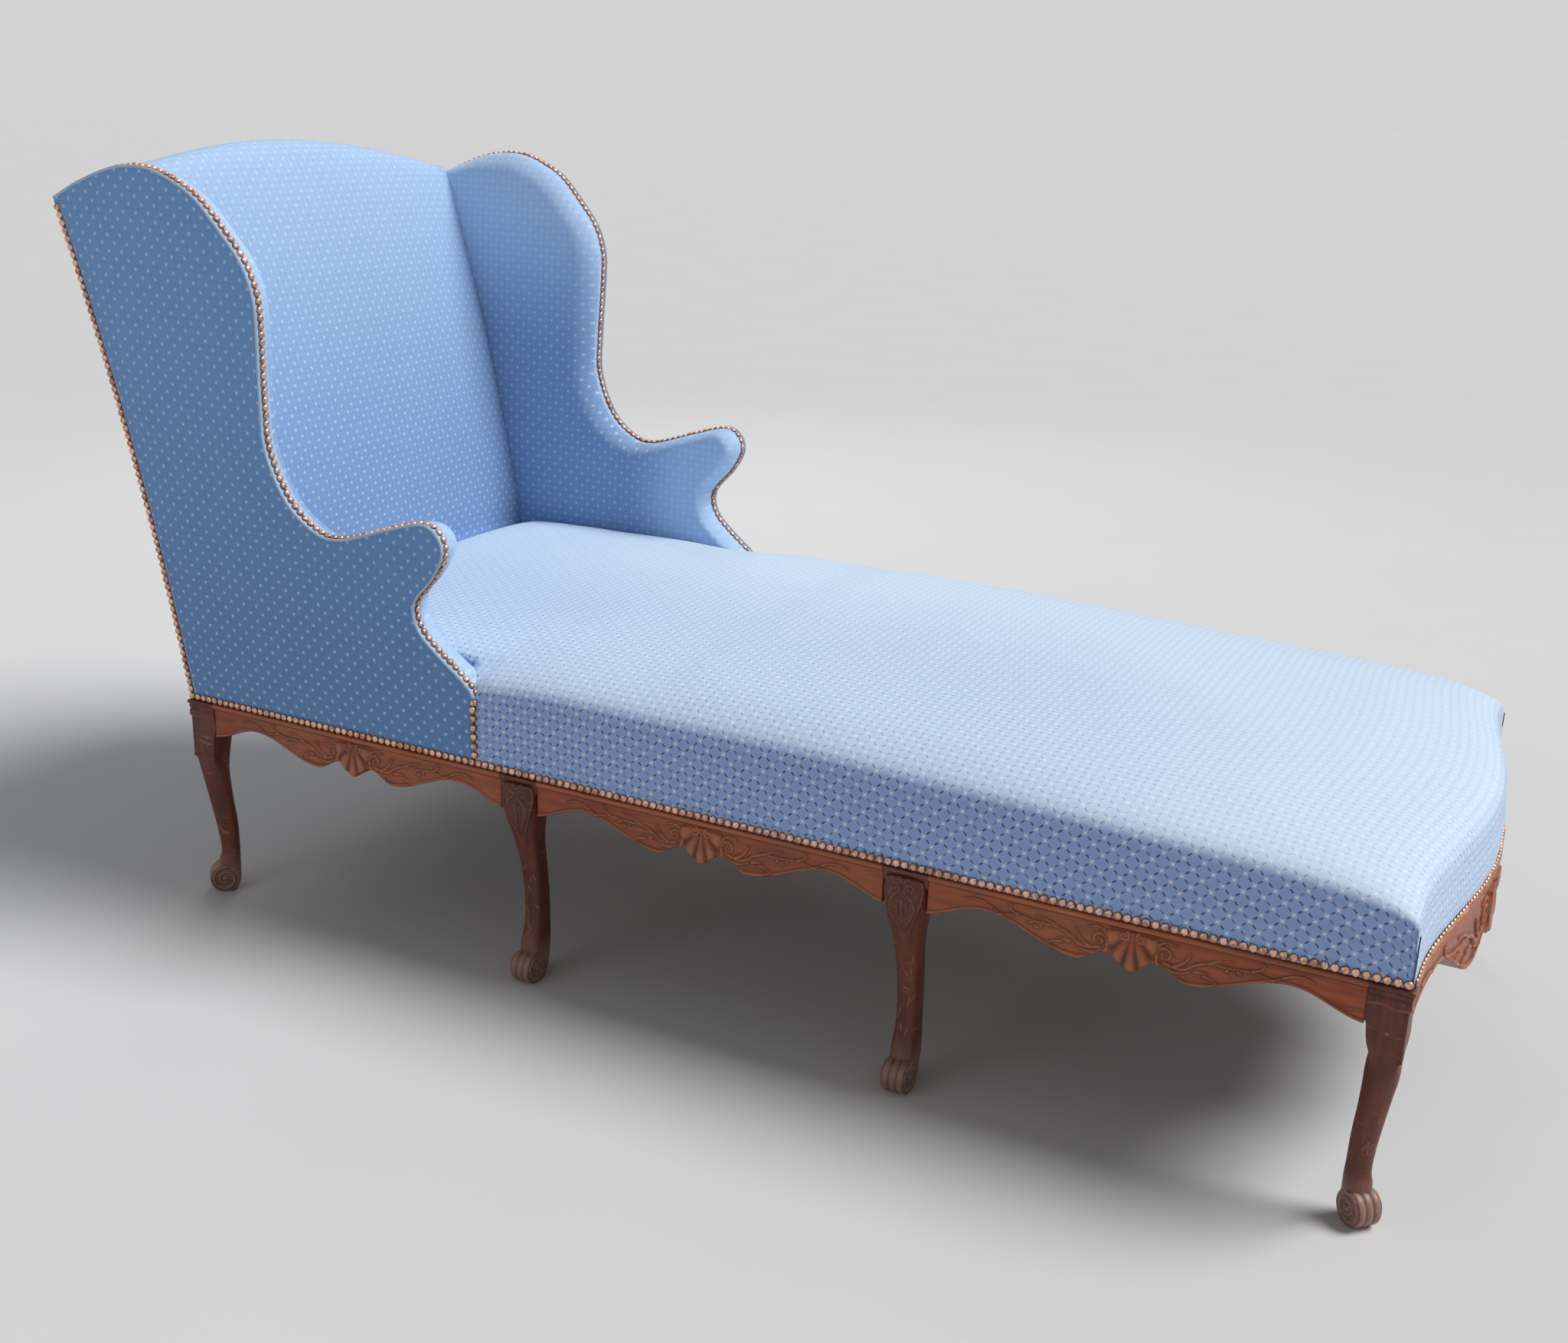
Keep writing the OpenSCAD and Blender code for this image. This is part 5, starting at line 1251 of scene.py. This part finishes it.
def webs(name, axis, places, others, level, steps):
    """Straps along an axis, at places on the other one, that pass over and under the others."""
    low, high = box_of(name)
    build = Build()
    for i, at in enumerate(places):
        short = 18 if axis == 0 and abs(at) >= 50 else 0
        along = np.linspace(low[axis], high[axis] - short, steps)
        wave = sum((1 if (i + j + axis) % 2 else -1) * np.exp(-((along - other) / 34) ** 2)
                   for j, other in enumerate(others))
        line = stack(*((at, along) if axis else (along, at)), level + WEB_SWAY * wave)
        across = np.eye(3)[1 - axis] * WEB_W / 2
        up = unit(np.cross(np.gradient(line, axis=0), across)) * WEB_T / 2
        build.body(np.stack([line - across + up, line + across + up, line + across - up,
                             line - across - up], axis=1))
    ride(build.make(name, WEBBING, flat=True), "webbing", name)


def box_of(name):
    low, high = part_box(name)
    return np.array(low) / MM, np.array(high) / MM


def thin_slab(build, points, thick):
    """A closed sheet: the grid of points, and the same grid higher by its thickness."""
    n, m = points.shape[:2]
    build.add(points, grid_faces(n, m, True))
    build.add(points + (0, 0, thick), grid_faces(n, m))
    at = np.arange(n * m).reshape(n, m)
    rim = np.concatenate([at[0], at[1:, -1], at[-1, -2::-1], at[-2:0:-1, 0]]).tolist()
    build.f += [(n * m + b, n * m + a, a, b) for a, b in zip(rim, rim[1:] + rim[:1])]


def hidden_parts():
    low, high = box_of("seat_webs_long")
    level = (low[2] + high[2]) / 2
    xs = [a + (b - a) * (j + 0.5) / 4 - MID_X for a, b in zip(LEG_X, LEG_X[1:]) for j in range(4)]
    ys = [k * (HALF_W - BLOCK - WEB_W) / 2.6 for k in range(-2, 3)]
    webs("seat_webs_long", 0, ys, xs, level, 260)
    webs("seat_webs_cross", 1, xs, ys, level + 1.0, 150)
    low, high = box_of("dust_cover")
    x, y = np.meshgrid(np.linspace(low[0], high[0], 120), np.linspace(low[1], high[1], 50), indexing="ij")
    edge = np.minimum(np.minimum(x - low[0], high[0] - x), np.minimum(y - low[1], high[1] - y))
    sag = 5.0 * smooth(edge / 160) + 0.6 * np.sin(x / 37) * np.sin(y / 51) * smooth(edge / 60)
    build = Build()
    thin_slab(build, stack(x, y, low[2] - 0.8 - sag), 0.8)
    ride(build.make("dust_cover", DUST), "dust_cloth", "dust_cover")


NAIL_PROFILE = [(5.15, 0), (5.15, .5), (5, 1.2), (4.6, 2.1), (3.9, 2.95), (2.9, 3.6), (1.6, 3.95)]
NAIL_TOP = 4.05
NAIL_SIDES = 16
# The nails under an arm stand this much nearer the foot end, on the seam with the seat, and four more
# cross the lower end of the arm's strip: place, distance out, height and the way each one faces
SEAM_STEP = 5.2
ARM_FOOT_NAILS = [(505.5, -2.5, 84, (0.5, 0.86, 0.1)), (506.2, -12, 79, (0.9, 0.3, 0.3)),
                  (506.6, -21.5, 82, (0.92, 0.1, 0.38)), (506.6, -31, 85.5, (0.92, 0, 0.4))]


def solids_of(name):
    """The separate solids of a CAD node: the points of each, in millimetres."""
    mesh = nodes[name].data
    points, same = np.unique(np.round(read(mesh.vertices, "co") / MM, 3), axis=0, return_inverse=True)
    a, b = same.ravel()[read(mesh.edges, "vertices", 2, np.int32)].T
    label = np.arange(len(points))
    while True:
        low = np.minimum(label[a], label[b])
        new = label.copy()
        np.minimum.at(new, a, low)
        np.minimum.at(new, b, low)
        if (new == label).all():
            break
        label = new[new]
    order = np.argsort(label, kind="stable")
    return np.split(points[order], np.where(np.diff(label[order]))[0] + 1)


def nail_head(build, base, axis, dice):
    """A domed head on its base point, a little out of true as hand-driven nails are."""
    axis = unit(axis + np.array([dice.uniform(-0.05, 0.05) for _ in range(3)]))
    u = unit(np.cross(axis, (0.31, 0.17, 0.93)))
    cos, sin = (k[:, None] for k in around(NAIL_SIDES))
    ring = cos * u + sin * np.cross(axis, u)
    size = dice.uniform(0.97, 1.0)
    rows = np.array([base + size * r * ring + h * axis for r, h in NAIL_PROFILE])
    last = len(NAIL_PROFILE) * NAIL_SIDES
    points = np.concatenate([rows.reshape(-1, 3), [base + NAIL_TOP * axis]])
    # painted shade on the lowest rings of the head
    low = np.append(np.repeat([1, .8, .35, .1, 0, 0, 0], NAIL_SIDES), 0)
    faces = grid_faces(len(NAIL_PROFILE), NAIL_SIDES, wrap=True)
    faces += [(last - NAIL_SIDES + i, last - NAIL_SIDES + (i + 1) % NAIL_SIDES, last)
              for i in range(NAIL_SIDES)]
    faces.append(tuple(range(NAIL_SIDES))[::-1])
    build.add(points, faces, low=low)


def nails(name, dice):
    build = Build()
    for p in solids_of(name):
        q = p - p.mean(0)
        axis = np.linalg.svd(q, full_matrices=False)[2][2]
        up = q @ axis
        far = np.linalg.norm(q - up[:, None] * axis, axis=1)
        rim = far > 0.9 * far.max()
        if up[rim].mean() > 0:
            axis, up = -axis, -up
        base = p[rim & (up < up.min() + 0.1)].mean(0)
        if name == "wing_nails" and abs(axis[1]) > 0.9:
            base[0] += SEAM_STEP
        nail_head(build, base, axis, dice)
    if name == "wing_nails":
        for s in (-1, 1):
            for x, out, h, way in ARM_FOOT_NAILS:
                nail_head(build, in_wing(x, out, h, s), np.array([way[0], s * way[1], way[2]]), dice)
    ride(build.make(name, NAIL), "nails", name)


def curved(name, material, slot, steps, way, sag, swing, waves):
    """A thin CAD piece made again with a net of points, along the two axes that have a step, and
    moved along way by sag and by a swing of the given wave lengths."""
    mesh = bmesh.new()
    mesh.from_mesh(nodes[name].data)
    bmesh.ops.remove_doubles(mesh, verts=mesh.verts, dist=0.01 * MM)
    low, high = box_of(name)
    i, j = (k for k in range(3) if steps[k])
    for axis in (i, j):
        for at in np.arange(low[axis] + steps[axis] / 2, high[axis], steps[axis]):
            bmesh.ops.bisect_plane(mesh, geom=mesh.verts[:] + mesh.edges[:] + mesh.faces[:], dist=0.01 * MM,
                                   plane_co=np.eye(3)[axis] * at * MM, plane_no=np.eye(3)[axis])
    bmesh.ops.recalc_face_normals(mesh, faces=mesh.faces)
    new = bpy.data.meshes.new(name + "_look")
    mesh.to_mesh(new)
    mesh.free()
    p = read(new.vertices, "co") / MM
    move = sag + swing * np.sin(p[:, i] / waves[0]) * np.sin(p[:, j] / waves[1])
    new.vertices.foreach_set("co", ((p + move[:, None] * way) * MM).ravel())
    new.update()
    new.materials.clear()
    new.materials.append(material)
    return ride(new_object(name + "_look", new), slot, name), sum(f.area for f in new.polygons) / 2


def canvases():
    """The canvas under each pad, and the webbing behind the back's: they give a little between tacks."""
    obj, area = curved("seat_canvas", CANVAS, "canvas", (40, 40, 0), (0, 0, 1), -0.5, 0.4, (41, 37))
    back = (1, 0, 0), -0.25, 0.2, (29, 33)
    obj, area = curved("back_canvas", CANVAS, "canvas", (0, 30, 30), *back)
    curved("back_webs", WEBBING, "webbing", (0, 20, 20), *back)
    for side_name, s in SIDES:
        name = "wing_canvas_" + side_name
        obj, area = curved(name, CANVAS, "canvas", (30, 0, 30), (0, -s, 0), 0.3, 0.25, (31, 27))


def keep_cad_parts():
    """Gives the CAD parts that show their material."""
    shown = {"seat_springs": STEEL, "back_seat_rail": RAIL_WOOD}
    for name, obj in nodes.items():
        if not obj.hide_render:
            obj.data.materials.clear()
            obj.data.materials.append(shown.get(name, HIDDEN_WOOD))


# The whole

camera()
setting()
seat_cover()
back_cover()
outside_back()
foot_rail()
hidden_parts()
for side_name, s in SIDES:
    wing_cover(s, side_name)
    outside_panel(s, side_name)
    for k, where in enumerate(("rear", "middle", "front")):
        side_rail(k, s, "side_rail_%s_%s" % (where, side_name))
    middle_leg(1, s, "middle_leg_rear_" + side_name)
    middle_leg(2, s, "middle_leg_front_" + side_name)
    foot_leg(s, "foot_leg_" + side_name)
    rear_post(s, "rear_post_" + side_name)
dice = random.Random(7)
for name in ("side_rail_nails", "foot_rail_nails", "back_nails", "wing_nails"):
    nails(name, dice)
canvases()
keep_cad_parts()
